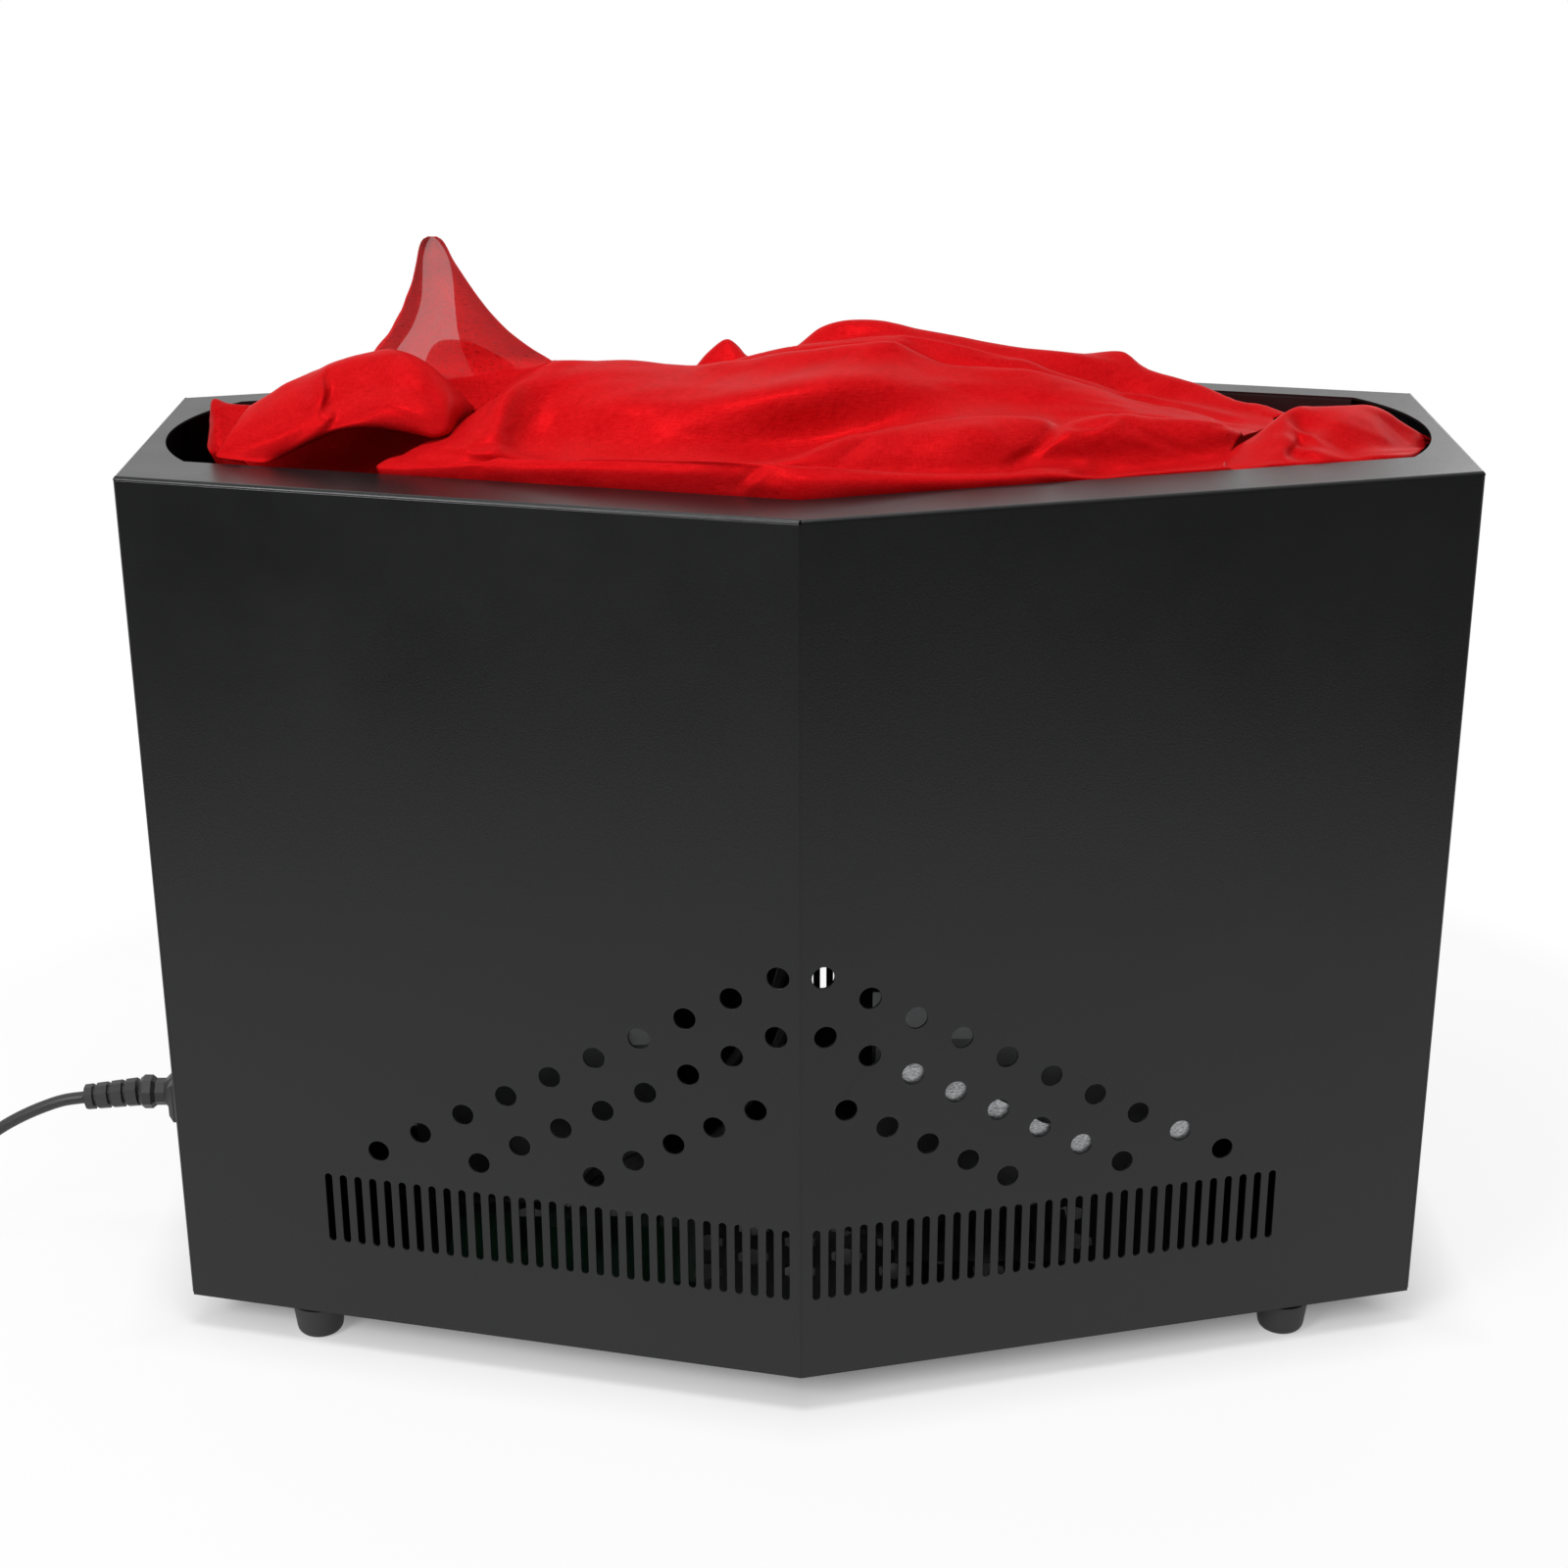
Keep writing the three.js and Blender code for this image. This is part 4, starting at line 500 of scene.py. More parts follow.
# Galvanised bracing strip right behind the front right panel's middle row of holes
STRIP, STRIP_EDGE, STRIP_GAP = 1.0, 0.1, 0.6
ridge, along, _ = slants["front_right"]
for name, outline in (
    ("bracing_strip", [(41, 141), (139, 78), (139, 104), (112, 113.5), (88, 130), (41, 164)]),
    ("bracing_tab", [(168, 92), (187, 90), (187, 110), (168, 114)]),
):
    plate = flat_plate(name, outline, [], STRIP, STRIP_EDGE, facing(ridge, along, SHEET + STRIP_GAP))
    add_piece(plate, name, galvanised)

# End panels, the left one with the openings of the inlet, the switch and the fuse
FITTING_LEVEL, FITTING_OFFSET = 69.5, 46.0
INLET_HALF, SWITCH_HALF, FUSE_HOLE = (14.4, 10.9), (8.1, 12.1), 13.2
half_end = END_WIDTH / 2 - corner_trim


def fitting_loop(middle, half_width, half_height):
    return box_loop(
        middle - half_width, middle + half_width, FITTING_LEVEL - half_height, FITTING_LEVEL + half_height
    )


end_openings = {
    "left_end": [
        fitting_loop(0.0, *INLET_HALF),
        fitting_loop(FITTING_OFFSET, *SWITCH_HALF),
        round_loop(-FITTING_OFFSET, FITTING_LEVEL, FUSE_HOLE),
    ],
    "right_end": [],
}
for name, side in (("left_end", -1), ("right_end", 1)):
    outline = box_loop(-half_end, half_end, 0, HEIGHT - BEND)
    place = facing((side * LENGTH / 2, 0, LOW), (0, side))
    plate = flat_plate(name + "_sheet", outline, end_openings[name], SHEET, PANEL_EDGE, place)
    add_piece(plate, name + "_sheet", powder_coat, (name + "_panel",))


def add_bend(bm, axis_start, axis_end, outward, turn, steps=8):
    """Adds an arc of sheet that turns about an axis, from a flat face on its outward side."""
    profile = [axis_start + outward * BEND, axis_start + outward * (BEND - SHEET)]
    profile += [axis_end + outward * (BEND - SHEET), axis_end + outward * BEND]
    face = bm.faces.new([bm.verts.new(p * MM) for p in profile])
    bmesh.ops.spin(
        bm,
        geom=[face, *face.edges, *face.verts],
        cent=axis_start * MM,
        axis=axis_end - axis_start,
        angle=turn,
        steps=steps,
        use_merge=False,
        use_duplicate=False,
    )


# Upright bends between the panels: an arc of sheet at every corner of the plan
plan = [
    Vector((x * LENGTH / 2, y, 0))
    for x, y in (
        (-1, -END_WIDTH / 2), (0, -DEPTH / 2), (1, -END_WIDTH / 2),
        (1, END_WIDTH / 2), (0, DEPTH / 2), (-1, END_WIDTH / 2),
    )
]


def upright_bend(name, corner, before, after):
    """The bend at a corner of the plan, between the faces that run from before and to after."""
    incoming = (corner - before).normalized()
    outgoing = (after - corner).normalized()
    turn = math.acos(incoming.dot(outgoing))
    inward = Vector((-incoming.y, incoming.x, 0))
    centre = corner - incoming * BEND * math.tan(turn / 2) + inward * BEND
    bm = bmesh.new()
    add_bend(bm, centre + Vector((0, 0, LOW)), centre + Vector((0, 0, TOP - BEND)), -inward, turn)
    return shade_by_angle(mesh_from(bm, name), 50)


bend_names = [
    "front_left_bend", "front_ridge_bend", "front_right_bend",
    "rear_right_bend", "rear_ridge_bend", "rear_left_bend",
]
for i, name in enumerate(bend_names):
    mesh = upright_bend(name, plan[i], plan[i - 1], plan[(i + 1) % 6])
    add_piece(mesh, name, powder_coat)

# Top frame: its flat strip with the mouth, the rolled outer edge and the turned-down lips
FRONT_STRIP, REAR_STRIP, END_STRIP = 31.1, 16.1, 8.0
END_RADIUS, END_CENTRE_Y, FRAME_EDGE, FRAME_OVERLAP, CORNER_GAP = 89.0, 5.4, 0.12, 0.05, 0.5
LIP, LIP_CHAMFER, LIP_SHORT = 12.0, 1.0, 1.0
end_centre_x = LENGTH / 2 - END_STRIP - END_RADIUS


def edge_y(x, strip):
    return DEPTH / 2 - strip - SLOPE * abs(x)


def corner_x(side, strip):
    """Where a straight edge of the mouth meets the arc at its end."""
    offset = edge_y(0, strip) - side * END_CENTRE_Y
    a = 1 + SLOPE * SLOPE
    b = -2 * (end_centre_x + SLOPE * offset)
    c = end_centre_x**2 + offset**2 - END_RADIUS**2
    return (-b + math.sqrt(b * b - 4 * a * c)) / (2 * a)


front_x, rear_x = corner_x(-1, FRONT_STRIP), corner_x(1, REAR_STRIP)


def mouth_loop(steps=40):
    start = math.atan2(-edge_y(front_x, FRONT_STRIP) - END_CENTRE_Y, front_x - end_centre_x)
    end = math.atan2(edge_y(rear_x, REAR_STRIP) - END_CENTRE_Y, rear_x - end_centre_x)
    right_side = []
    for i in range(steps + 1):
        angle = start + (end - start) * i / steps
        right_side.append(
            (end_centre_x + END_RADIUS * math.cos(angle), END_CENTRE_Y + END_RADIUS * math.sin(angle))
        )
    left_side = [(-x, y) for x, y in reversed(right_side)]
    return [(0, -edge_y(0, FRONT_STRIP)), *right_side, (0, edge_y(0, REAR_STRIP)), *left_side]


def inset_plan(inset):
    """The plan's corners, moved in by this much from every side."""
    x = LENGTH / 2 - inset
    slant = inset / cos_turn
    corner, ridge = DEPTH / 2 - SLOPE * x - slant, DEPTH / 2 - slant
    return [(-x, -corner), (0, -ridge), (x, -corner), (x, corner), (0, ridge), (-x, corner)]


flat_top = Matrix.Translation((0, 0, TOP))
top_outline = inset_plan(BEND - FRAME_OVERLAP)
top_sheet = flat_plate("top_frame_sheet", top_outline, [mouth_loop()], SHEET, FRAME_EDGE, flat_top)
bm = bmesh.new()
bm.from_mesh(top_sheet)


def add_rolled_edge(bm, start, end):
    """The quarter round along one side, square at its ends, a hair short of the corners."""
    along = (end - start).normalized()
    inward = Vector((-along.y, along.x, 0))
    to_axis = inward * BEND + Vector((0, 0, TOP - BEND))
    short = along * CORNER_GAP
    add_bend(bm, end - short + to_axis, start + short + to_axis, -inward, math.pi / 2)


def add_lip(bm, start, end, inward):
    """The strip turned down along a straight edge of the mouth, with a rounded bend at its top."""
    profile = [(0, TOP - LIP), (0, TOP - BEND)]
    for k in range(1, 7):
        angle = math.pi / 2 * k / 6
        profile.append((BEND - BEND * math.cos(angle), TOP - BEND + BEND * math.sin(angle)))
    profile += [(SHEET + LIP_CHAMFER, TOP - SHEET), (SHEET, TOP - SHEET - LIP_CHAMFER), (SHEET, TOP - LIP)]
    face = bm.faces.new([bm.verts.new((start - inward * out + Vector((0, 0, z))) * MM) for out, z in profile])
    drawn = bmesh.ops.extrude_face_region(bm, geom=[face])["geom"]
    moved = [item for item in drawn if isinstance(item, bmesh.types.BMVert)]
    bmesh.ops.translate(bm, verts=moved, vec=(end - start) * MM)


for i in range(6):
    add_rolled_edge(bm, plan[i], plan[(i + 1) % 6])
for side, strip, reach in ((-1, FRONT_STRIP, front_x), (1, REAR_STRIP, rear_x)):
    for hand in (-1, 1):
        ridge_point = Vector((0, side * edge_y(0, strip), 0))
        far_x = reach - LIP_SHORT
        far_point = Vector((hand * far_x, side * edge_y(far_x, strip), 0))
        slant = Vector((-hand * sin_turn, -side * cos_turn, 0))
        add_lip(bm, ridge_point, far_point, slant)
top_sheet = shade_by_angle(mesh_from(bm, "top_frame_sheet"), 20)
add_piece(top_sheet, "top_frame_sheet", powder_coat, ("top_frame",))


# Turned pieces
def turned_mesh(name, profile, steps, matrix):
    """A turned piece about Z from (radius, height) points in millimetres, closed on itself."""
    bm = bmesh.new()
    verts = [bm.verts.new((r, 0, z)) for r, z in profile]
    edges = [bm.edges.new((a, b)) for a, b in zip(verts, verts[1:] + verts[:1])]
    bmesh.ops.spin(
        bm,
        geom=[*verts, *edges],
        cent=(0, 0, 0),
        axis=(0, 0, 1),
        angle=2 * math.pi,
        steps=steps,
        use_merge=True,
        use_duplicate=False,
    )
    bmesh.ops.remove_doubles(bm, verts=bm.verts, dist=0.0005)
    bmesh.ops.transform(bm, matrix=matrix, verts=bm.verts)
    bmesh.ops.scale(bm, verts=bm.verts, vec=(MM, MM, MM))
    return shade_by_angle(mesh_from(bm, name))


def rounded(corner, towards_a, towards_b, radius, steps):
    """Points of a small round at a corner of a profile."""
    corner, a, b = (Vector((*p, 0)) for p in (corner, towards_a, towards_b))
    start = corner + (a - corner).normalized() * radius
    end = corner + (b - corner).normalized() * radius
    points = []
    for k in range(steps + 1):
        t = k / steps
        point = start * (1 - t) ** 2 + corner * 2 * t * (1 - t) + end * t * t
        points.append((point.x, point.y))
    return points


# Feet: rubber cones round a recess for the screw's head, with a neck under the base plate
RECESS, RECESS_TOP, SCREW_HOLE, NECK, FOOT_TOP = 5.2, 7.0, 2.4, 8.7, 18.7
FOOT_IN, FOOT_BACK = 60.0, 15.8
foot_profile = [
    (RECESS, 0.0),
    *rounded((10.6, 0.0), (RECESS, 0.0), (12.4, 16.0), 3.6, 6),
    *rounded((12.45, 16.2), (10.6, 0.0), (NECK, 16.3), 0.5, 3),
    (NECK, 16.4),
    (NECK, FOOT_TOP),
    (SCREW_HOLE, FOOT_TOP),
    (SCREW_HOLE, RECESS_TOP),
    (RECESS, RECESS_TOP),
]
foot_x = LENGTH / 2 - FOOT_IN
foot_y = edge_y(foot_x, FOOT_BACK)
for end, side in ((-1, -1), (1, -1), (-1, 1), (1, 1)):
    name = "foot_" + ("front" if side < 0 else "rear") + ("_left" if end < 0 else "_right")
    place = Matrix.Translation((end * foot_x, side * foot_y, 0))
    mesh = turned_mesh(name + "_rubber", foot_profile, 40, place)
    add_piece(mesh, name + "_rubber", rubber, (name,))

# Red silk. Its sheets follow rows of given places, each row from left to right and the rows from the rear
# hem to the front one. A place is a pixel of the photograph or of an enlarged part of it, and a depth in
# millimetres behind the housing's middle. A part is its left and upper edge there and how much larger it is.
PHOTO_SIZE, CLOTH_DISTANCE = 1600, 1190
PHOTO, LEFT_PART, RIGHT_PART = (0, 0, 1), (180, 220, 2.5), (720, 290, 2.5)
PIXEL = camera_data.sensor_width / camera_data.lens / PHOTO_SIZE * CLOTH_DISTANCE
ROW_INSET, CLOTH_INSET, RIM_CLEARANCE, RIM_FADE = 1.6, 1.5, 3.5, 3.0


def seen(part, x, y):
    """Millimetres across and up from the view's middle, at the cloth's distance."""
    left_edge, upper_edge, larger = part
    middle = PHOTO_SIZE / 2
    return (left_edge + x / larger - middle) * PIXEL, (middle - upper_edge - y / larger) * PIXEL


def at_depth(part, x, y, depth):
    """The point that is seen at a place, at exactly this depth."""
    across, up = seen(part, x, y)
    ray = forward * CLOTH_DISTANCE + right * across + above * up
    return EYE + ray * ((depth - EYE.y) / ray.y)


def mouth_limits(x, inset, arc_inset=0.0):
    """Front and rear limits of the mouth at x, an inset within its straight edges and its end arcs."""
    past = np.maximum(np.abs(x) - end_centre_x, 0)
    arc = np.sqrt(np.maximum((END_RADIUS - inset) ** 2 - past**2, 0)) - arc_inset
    arc = np.where(past > 0, arc, LENGTH)
    front = np.maximum(inset - edge_y(x, FRONT_STRIP), END_CENTRE_Y - arc)
    rear = np.minimum(edge_y(x, REAR_STRIP) - inset, END_CENTRE_Y + arc)
    return front, rear


def draped(part, x, y, depth):
    """The point seen at a place, its depth reduced as the mouth narrows to its ends and kept inside it."""
    strip = FRONT_STRIP if depth < 0 else REAR_STRIP
    point = Vector((0, 0, 0))
    for _ in range(4):
        front, rear = mouth_limits(point.x, ROW_INSET, ROW_INSET)
        shrunk = depth * edge_y(point.x, strip) / edge_y(0, strip)
        point = at_depth(part, x, y, min(max(shrunk, front), rear))
    return point


def draped_rows(part, rows):
    return [[draped(part, *place) for place in row] for row in rows]


def hem(spots, inset, height):
    """A row at one height inside the mouth's front edge."""
    return [(x, mouth_limits(x, inset, inset)[0], height) for x in spots]


# Billow: the large sheet over the mouth
hem_spots = (-176, -150, -120, -90, -60, -25, 0, 25, 60, 90, 120, 150, 190)
billow_rows = [
    [(x, 112 - 0.9 * SLOPE * abs(x), 406) for x in (-118, -60, 0, 60, 120, 165, 205)],
    *draped_rows(PHOTO, [
        [(545, 397, 92), (600, 394, 95), (660, 392, 95), (742, 386, 92), (800, 372, 88), (850, 364, 86),
         (904, 358, 84), (990, 366, 82), (1060, 368, 80), (1096, 364, 76), (1120, 358, 72),
         (1148, 358, 72), (1162, 378, 74), (1220, 402, 72), (1290, 424, 60)],
        [(548, 390, 62), (600, 384, 60), (660, 380, 58), (700, 376, 56), (722, 358, 55), (742, 343.5, 55),
         (754, 351, 54), (768, 362, 54), (804, 352, 52), (835, 333, 50), (856, 326.5, 48), (874, 325, 48),
         (904, 327, 48), (944, 336, 48), (990, 345, 49), (1040, 354, 50), (1096, 361, 52), (1160, 376, 56),
         (1220, 390, 58), (1252, 404, 50), (1290, 414, 38), (1312, 422, 25)],
        [(550, 388, 45), (640, 382, 44), (720, 379, 42), (770, 369, 40), (804, 359, 38), (850, 350, 36),
         (904, 344, 35), (944, 346, 35), (1000, 359, 36), (1068, 379, 37), (1132, 396, 38),
         (1180, 404, 38), (1240, 415, 34), (1300, 427, 20)],
        [(552, 384, 36), (640, 377, 34), (720, 374, 30), (764, 361, 28), (804, 350, 27), (850, 344, 26),
         (912, 340, 26), (940, 343, 26), (1000, 357, 27), (1068, 376, 28), (1132, 394, 28),
         (1180, 402, 28), (1240, 418, 24), (1300, 431, 10)],
        [(556, 378, 22), (600, 372, 18), (660, 372, 16), (720, 377, 16), (760, 371, 16), (810, 366, 16),
         (880, 357, 15), (912, 354, 15), (935, 363, 15), (965, 374, 15), (1022, 381, 16), (1068, 387, 16),
         (1124, 401, 16), (1180, 411, 16), (1240, 426, 10), (1295, 435, -2)],
        [(566, 367, 4), (600, 365, 6), (640, 364, 7), (680, 366.5, 8), (712, 370, 8), (744, 367, 8),
         (800, 362, 8), (880, 352, 8), (908, 348, 8), (928, 357, 8), (960, 370, 8), (1020, 376, 9),
         (1064, 380, 9), (1124, 395, 9), (1172, 406, 7), (1235, 424, 0), (1290, 436, -10)],
        [(532, 378, -12), (546, 375, -15), (570, 377, -16), (600, 379, -20), (640, 380, -22),
         (690, 384, -20), (744, 384, -14), (800, 378, -10), (880, 368, -8), (920, 372, -8), (960, 383, -8),
         (1020, 390, -8), (1064, 395, -9), (1124, 407, -11), (1172, 416, -12), (1230, 429, -15),
         (1283, 440, -20)],
        [(500, 404, -36), (508, 400, -44), (520, 399, -47), (538, 402, -42), (560, 406, -38),
         (590, 409, -44), (630, 410, -54), (690, 411, -52), (744, 406, -48), (800, 399, -46),
         (860, 394, -42), (920, 397, -34), (980, 405, -24), (1040, 412, -22), (1090, 416, -24),
         (1140, 419, -26), (1180, 423, -30), (1230, 433, -34), (1275, 442, -38)],
        [(476, 427, -54), (487, 424, -66), (500, 424, -71), (516, 430, -66), (534, 436, -58),
         (556, 440, -57), (580, 442, -62), (630, 445, -70), (680, 447, -70), (730, 449, -62),
         (780, 452, -54), (830, 450, -49), (880, 442, -49), (940, 431, -48), (1000, 424, -45),
         (1050, 426, -42), (1080, 430, -40), (1120, 427, -38), (1180, 430, -40), (1230, 434, -42),
         (1270, 444, -46)],
        [(452, 446, -72), (472, 445, -84), (490, 448, -91), (508, 454, -85), (526, 459, -77),
         (550, 462, -76), (580, 463, -82), (620, 465, -86), (680, 467, -86), (740, 469, -82),
         (775, 470, -78), (800, 467, -84), (840, 451, -82), (900, 438, -72), (940, 432, -66),
         (976, 428, -63), (1030, 424, -62), (1066, 427, -61), (1080, 432, -58), (1096, 429, -59),
         (1118, 425, -61), (1140, 421, -61), (1180, 425, -60), (1220, 427, -60), (1250, 430, -60),
         (1266, 443, -54)],
        [(428, 454, -86), (450, 456, -96), (474, 459, -102), (494, 462, -101), (512, 466, -95),
         (532, 468, -90), (560, 469, -91), (640, 469, -96), (720, 471, -97), (800, 472, -95),
         (840, 466, -91), (880, 459, -86), (930, 451, -81), (980, 447, -82), (1030, 450, -81),
         (1060, 453, -79), (1076, 449, -79), (1100, 450, -78), (1140, 446, -78), (1180, 448, -76),
         (1220, 451, -75), (1258, 458, -72)],
        [(410, 463, -95), (446, 464, -102), (478, 467, -105), (502, 473, -99), (540, 474, -96),
         (600, 473, -97), (680, 475, -99), (740, 477, -100), (784, 479, -99), (860, 481, -98),
         (920, 483, -96), (1000, 479, -94), (1046, 473, -87), (1076, 470, -83), (1100, 470, -81),
         (1120, 468, -80), (1160, 466, -80), (1200, 467, -80), (1254, 467, -82)],
        [(392, 470, -102), (440, 471, -107), (480, 473, -109), (510, 469, -107), (600, 466, -108),
         (680, 468, -109), (740, 470, -110), (784, 473, -107), (860, 476, -104), (920, 479, -104),
         (1000, 479, -104), (1060, 476, -104), (1090, 478, -103), (1112, 483, -89), (1150, 479, -86),
         (1200, 474, -86), (1252, 470, -90)],
        [(384, 476, -109), (430, 478, -111), (500, 480, -111), (600, 482, -111), (680, 486, -111),
         (740, 489, -111), (800, 493, -111), (860, 493, -111), (920, 492, -111), (1000, 489, -111),
         (1060, 485, -111), (1100, 486, -111), (1116, 488, -111), (1150, 484, -110), (1200, 480, -109),
         (1252, 476, -109)],
    ]),
    hem(hem_spots, 3.5, 416),
    hem(hem_spots, 9, 406),
]

# Hump: the folded puff over the mouth's left end
hump_rows = [
    [(-236, 12, 411), (-218, 28, 412), (-196, 40, 413), (-170, 48, 414), (-148, 50, 416),
     (-126, 40, 418)],
    *draped_rows(LEFT_PART, [
        [(205, 512, -10), (240, 492, 0), (280, 462, 6), (330, 430, 6), (400, 395, 4), (460, 380, 2),
         (530, 368, 0), (600, 378, -4), (650, 400, -6), (700, 440, -10), (758, 495, -14)],
        [(190, 483, -46), (214, 468, -47), (240, 452, -46), (275, 428, -44), (320, 408, -42),
         (380, 384, -40), (440, 362, -38), (500, 350, -38), (545, 343, -38), (600, 355, -40),
         (640, 378, -42), (680, 412, -42), (720, 448, -36), (760, 488, -26)],
        [(164, 512, -68), (196, 498, -68), (230, 484, -68), (268, 462, -67), (315, 438, -65),
         (366, 416, -62), (384, 418, -56), (440, 404, -56), (510, 392, -58), (560, 394, -60),
         (610, 408, -62), (650, 428, -62), (690, 455, -60), (722, 478, -50), (756, 502, -30)],
        [(136, 556, -92), (172, 548, -93), (212, 538, -92), (262, 518, -90), (314, 494, -87),
         (372, 466, -84), (386, 478, -74), (450, 466, -75), (510, 458, -78), (560, 462, -80),
         (616, 476, -80), (656, 490, -79), (690, 505, -76), (716, 515, -60), (748, 516, -36)],
        [(116, 588, -101), (152, 587, -103), (198, 584, -103), (258, 570, -100), (320, 546, -96),
         (388, 516, -92), (408, 516, -86), (450, 510, -86), (512, 502, -88), (570, 506, -89),
         (620, 520, -88), (660, 533, -85), (692, 540, -80), (714, 534, -60), (742, 526, -38)],
        [(101, 612, -107), (135, 616, -108), (175, 619, -108), (225, 619, -106), (275, 602, -101),
         (340, 571, -97), (400, 546, -93), (450, 536, -91), (510, 534, -90), (570, 541, -90),
         (620, 551, -89), (660, 561, -87), (690, 556, -80), (712, 545, -60), (738, 532, -42)],
        [(112, 617, -108), (142, 622, -109), (180, 627, -109), (228, 630, -107), (280, 612, -96),
         (344, 581, -89), (402, 556, -85), (452, 546, -83), (510, 543, -81), (570, 550, -80),
         (620, 559, -80), (658, 567, -80), (688, 562, -74), (710, 552, -56), (734, 541, -42)],
    ]),
]
hump_rows.append([point + Vector((1, 15, 4)) for point in hump_rows[-1]])

# Flap at the hump's left
flap_rows = [
    [(-252, -8, 410), (-244, 0, 411), (-232, 8, 412), (-222, 12, 413)],
    *draped_rows(LEFT_PART, [
        [(86, 520, -36), (97, 486, -30), (150, 494, -28), (215, 500, -26)],
        [(84, 536, -52), (92, 467, -46), (130, 478, -44), (205, 484, -42)],
        [(81, 562, -66), (99, 508, -64), (140, 512, -60), (205, 520, -56)],
        [(78, 590, -86), (98, 556, -84), (132, 560, -80), (180, 566, -74)],
        [(86, 606, -96), (104, 604, -97), (130, 606, -94), (160, 610, -88)],
    ]),
    [(-252, -36, 414), (-247, -39, 414), (-240, -42, 413), (-230, -44, 412)],
]

# Under layer, low in the mouth at the left, as points in the part
under_rows = [
    [(-262, 6, 400), (-240, 40, 402), (-205, 66, 404), (-170, 78, 405), (-135, 86, 406),
     (-100, 88, 408)],
    [(-258, 0, 408), (-238, 24, 416), (-208, 40, 422), (-176, 48, 428), (-140, 50, 433),
     (-104, 48, 438)],
    [(-256, -8, 408), (-236, 4, 420), (-206, 18, 428), (-176, 24, 436), (-142, 26, 441),
     (-108, 22, 445)],
    [(-252, -16, 404), (-230, -8, 412), (-204, 2, 416), (-178, 6, 420), (-150, 2, 430),
     (-122, -4, 438)],
    [(-248, -22, 398), (-226, -18, 396), (-202, -10, 394), (-178, -6, 394), (-154, -10, 402),
     (-130, -20, 420)],
    [(-244, -26, 392), (-222, -26, 388), (-200, -20, 382), (-178, -18, 380), (-158, -22, 386),
     (-138, -32, 400)],
    [(-238, -32, 384), (-218, -32, 378), (-198, -28, 370), (-178, -28, 366), (-160, -32, 370),
     (-144, -40, 380)],
    [(-232, -38, 372), (-214, -38, 364), (-196, -36, 356), (-178, -36, 350), (-162, -40, 352),
     (-148, -46, 360)],
]

# Peak: where each level is seen, its left fold and edge, its right edge and fold, and its depth
peak_levels = [
    (54, 648, 640, 664, 658, 10), (62, 642, 627, 678, 668, 10), (80, 634, 619, 690, 682, 10),
    (112, 627, 613, 706, 697, 9), (160, 626, 602, 738, 707, 8), (220, 622, 580, 782, 711, 6),
    (285, 600, 548, 842, 717, 4), (335, 566, 510, 905, 728, 2), (372, 540, 478, 968, 742, 0),
    (410, 520, 452, 1010, 762, -4), (450, 505, 430, 1040, 792, -8), (500, 500, 420, 1050, 830, -14),
]


def peak_row(level, fold_left, edge_left, edge_right, fold_right, depth):
    """A row across the peak: the single sheet hangs a little behind its edges, its margins fold back."""
    span = edge_right - edge_left
    hollow = min(span * 0.03, 4)
    row = [
        (fold_left, level, depth + 7 + hollow),
        ((fold_left + edge_left) / 2, level - 1, depth + 5 + hollow * 0.6),
        (edge_left, level, depth),
        (edge_left + span * 0.2, level, depth + 1.2 + hollow * 0.6),
        (edge_left + span * 0.5, level, depth + 1.6 + hollow),
        (edge_right - span * 0.2, level, depth + 1.2 + hollow * 0.6),
        (edge_right, level, depth),
        ((fold_right + edge_right) / 2, level - 1, depth + 5 + hollow * 0.6),
        (fold_right, level, depth + 7 + hollow),
    ]
    return [at_depth(LEFT_PART, *place) for place in row]


peak_rows = [peak_row(*level) for level in peak_levels]

# Small arch of cloth behind the peak's foot
arch_rows = [
    [at_depth(LEFT_PART, *place) for place in row]
    for row in (
        [(632, 380, 34), (650, 338, 34), (672, 320, 34), (700, 316, 34), (745, 322, 34), (800, 345, 34),
         (860, 380, 34)],
        [(628, 400, 26), (646, 352, 24), (672, 330, 22), (702, 326, 22), (748, 334, 22), (805, 360, 24),
         (865, 395, 26)],
        [(625, 430, 20), (650, 390, 16), (680, 370, 14), (710, 368, 14), (752, 380, 14), (808, 402, 16),
         (868, 430, 20)],
        [(625, 480, 14), (655, 450, 8), (690, 436, 6), (720, 436, 6), (760, 446, 6), (812, 462, 8),
         (868, 480, 14)],
    )
]

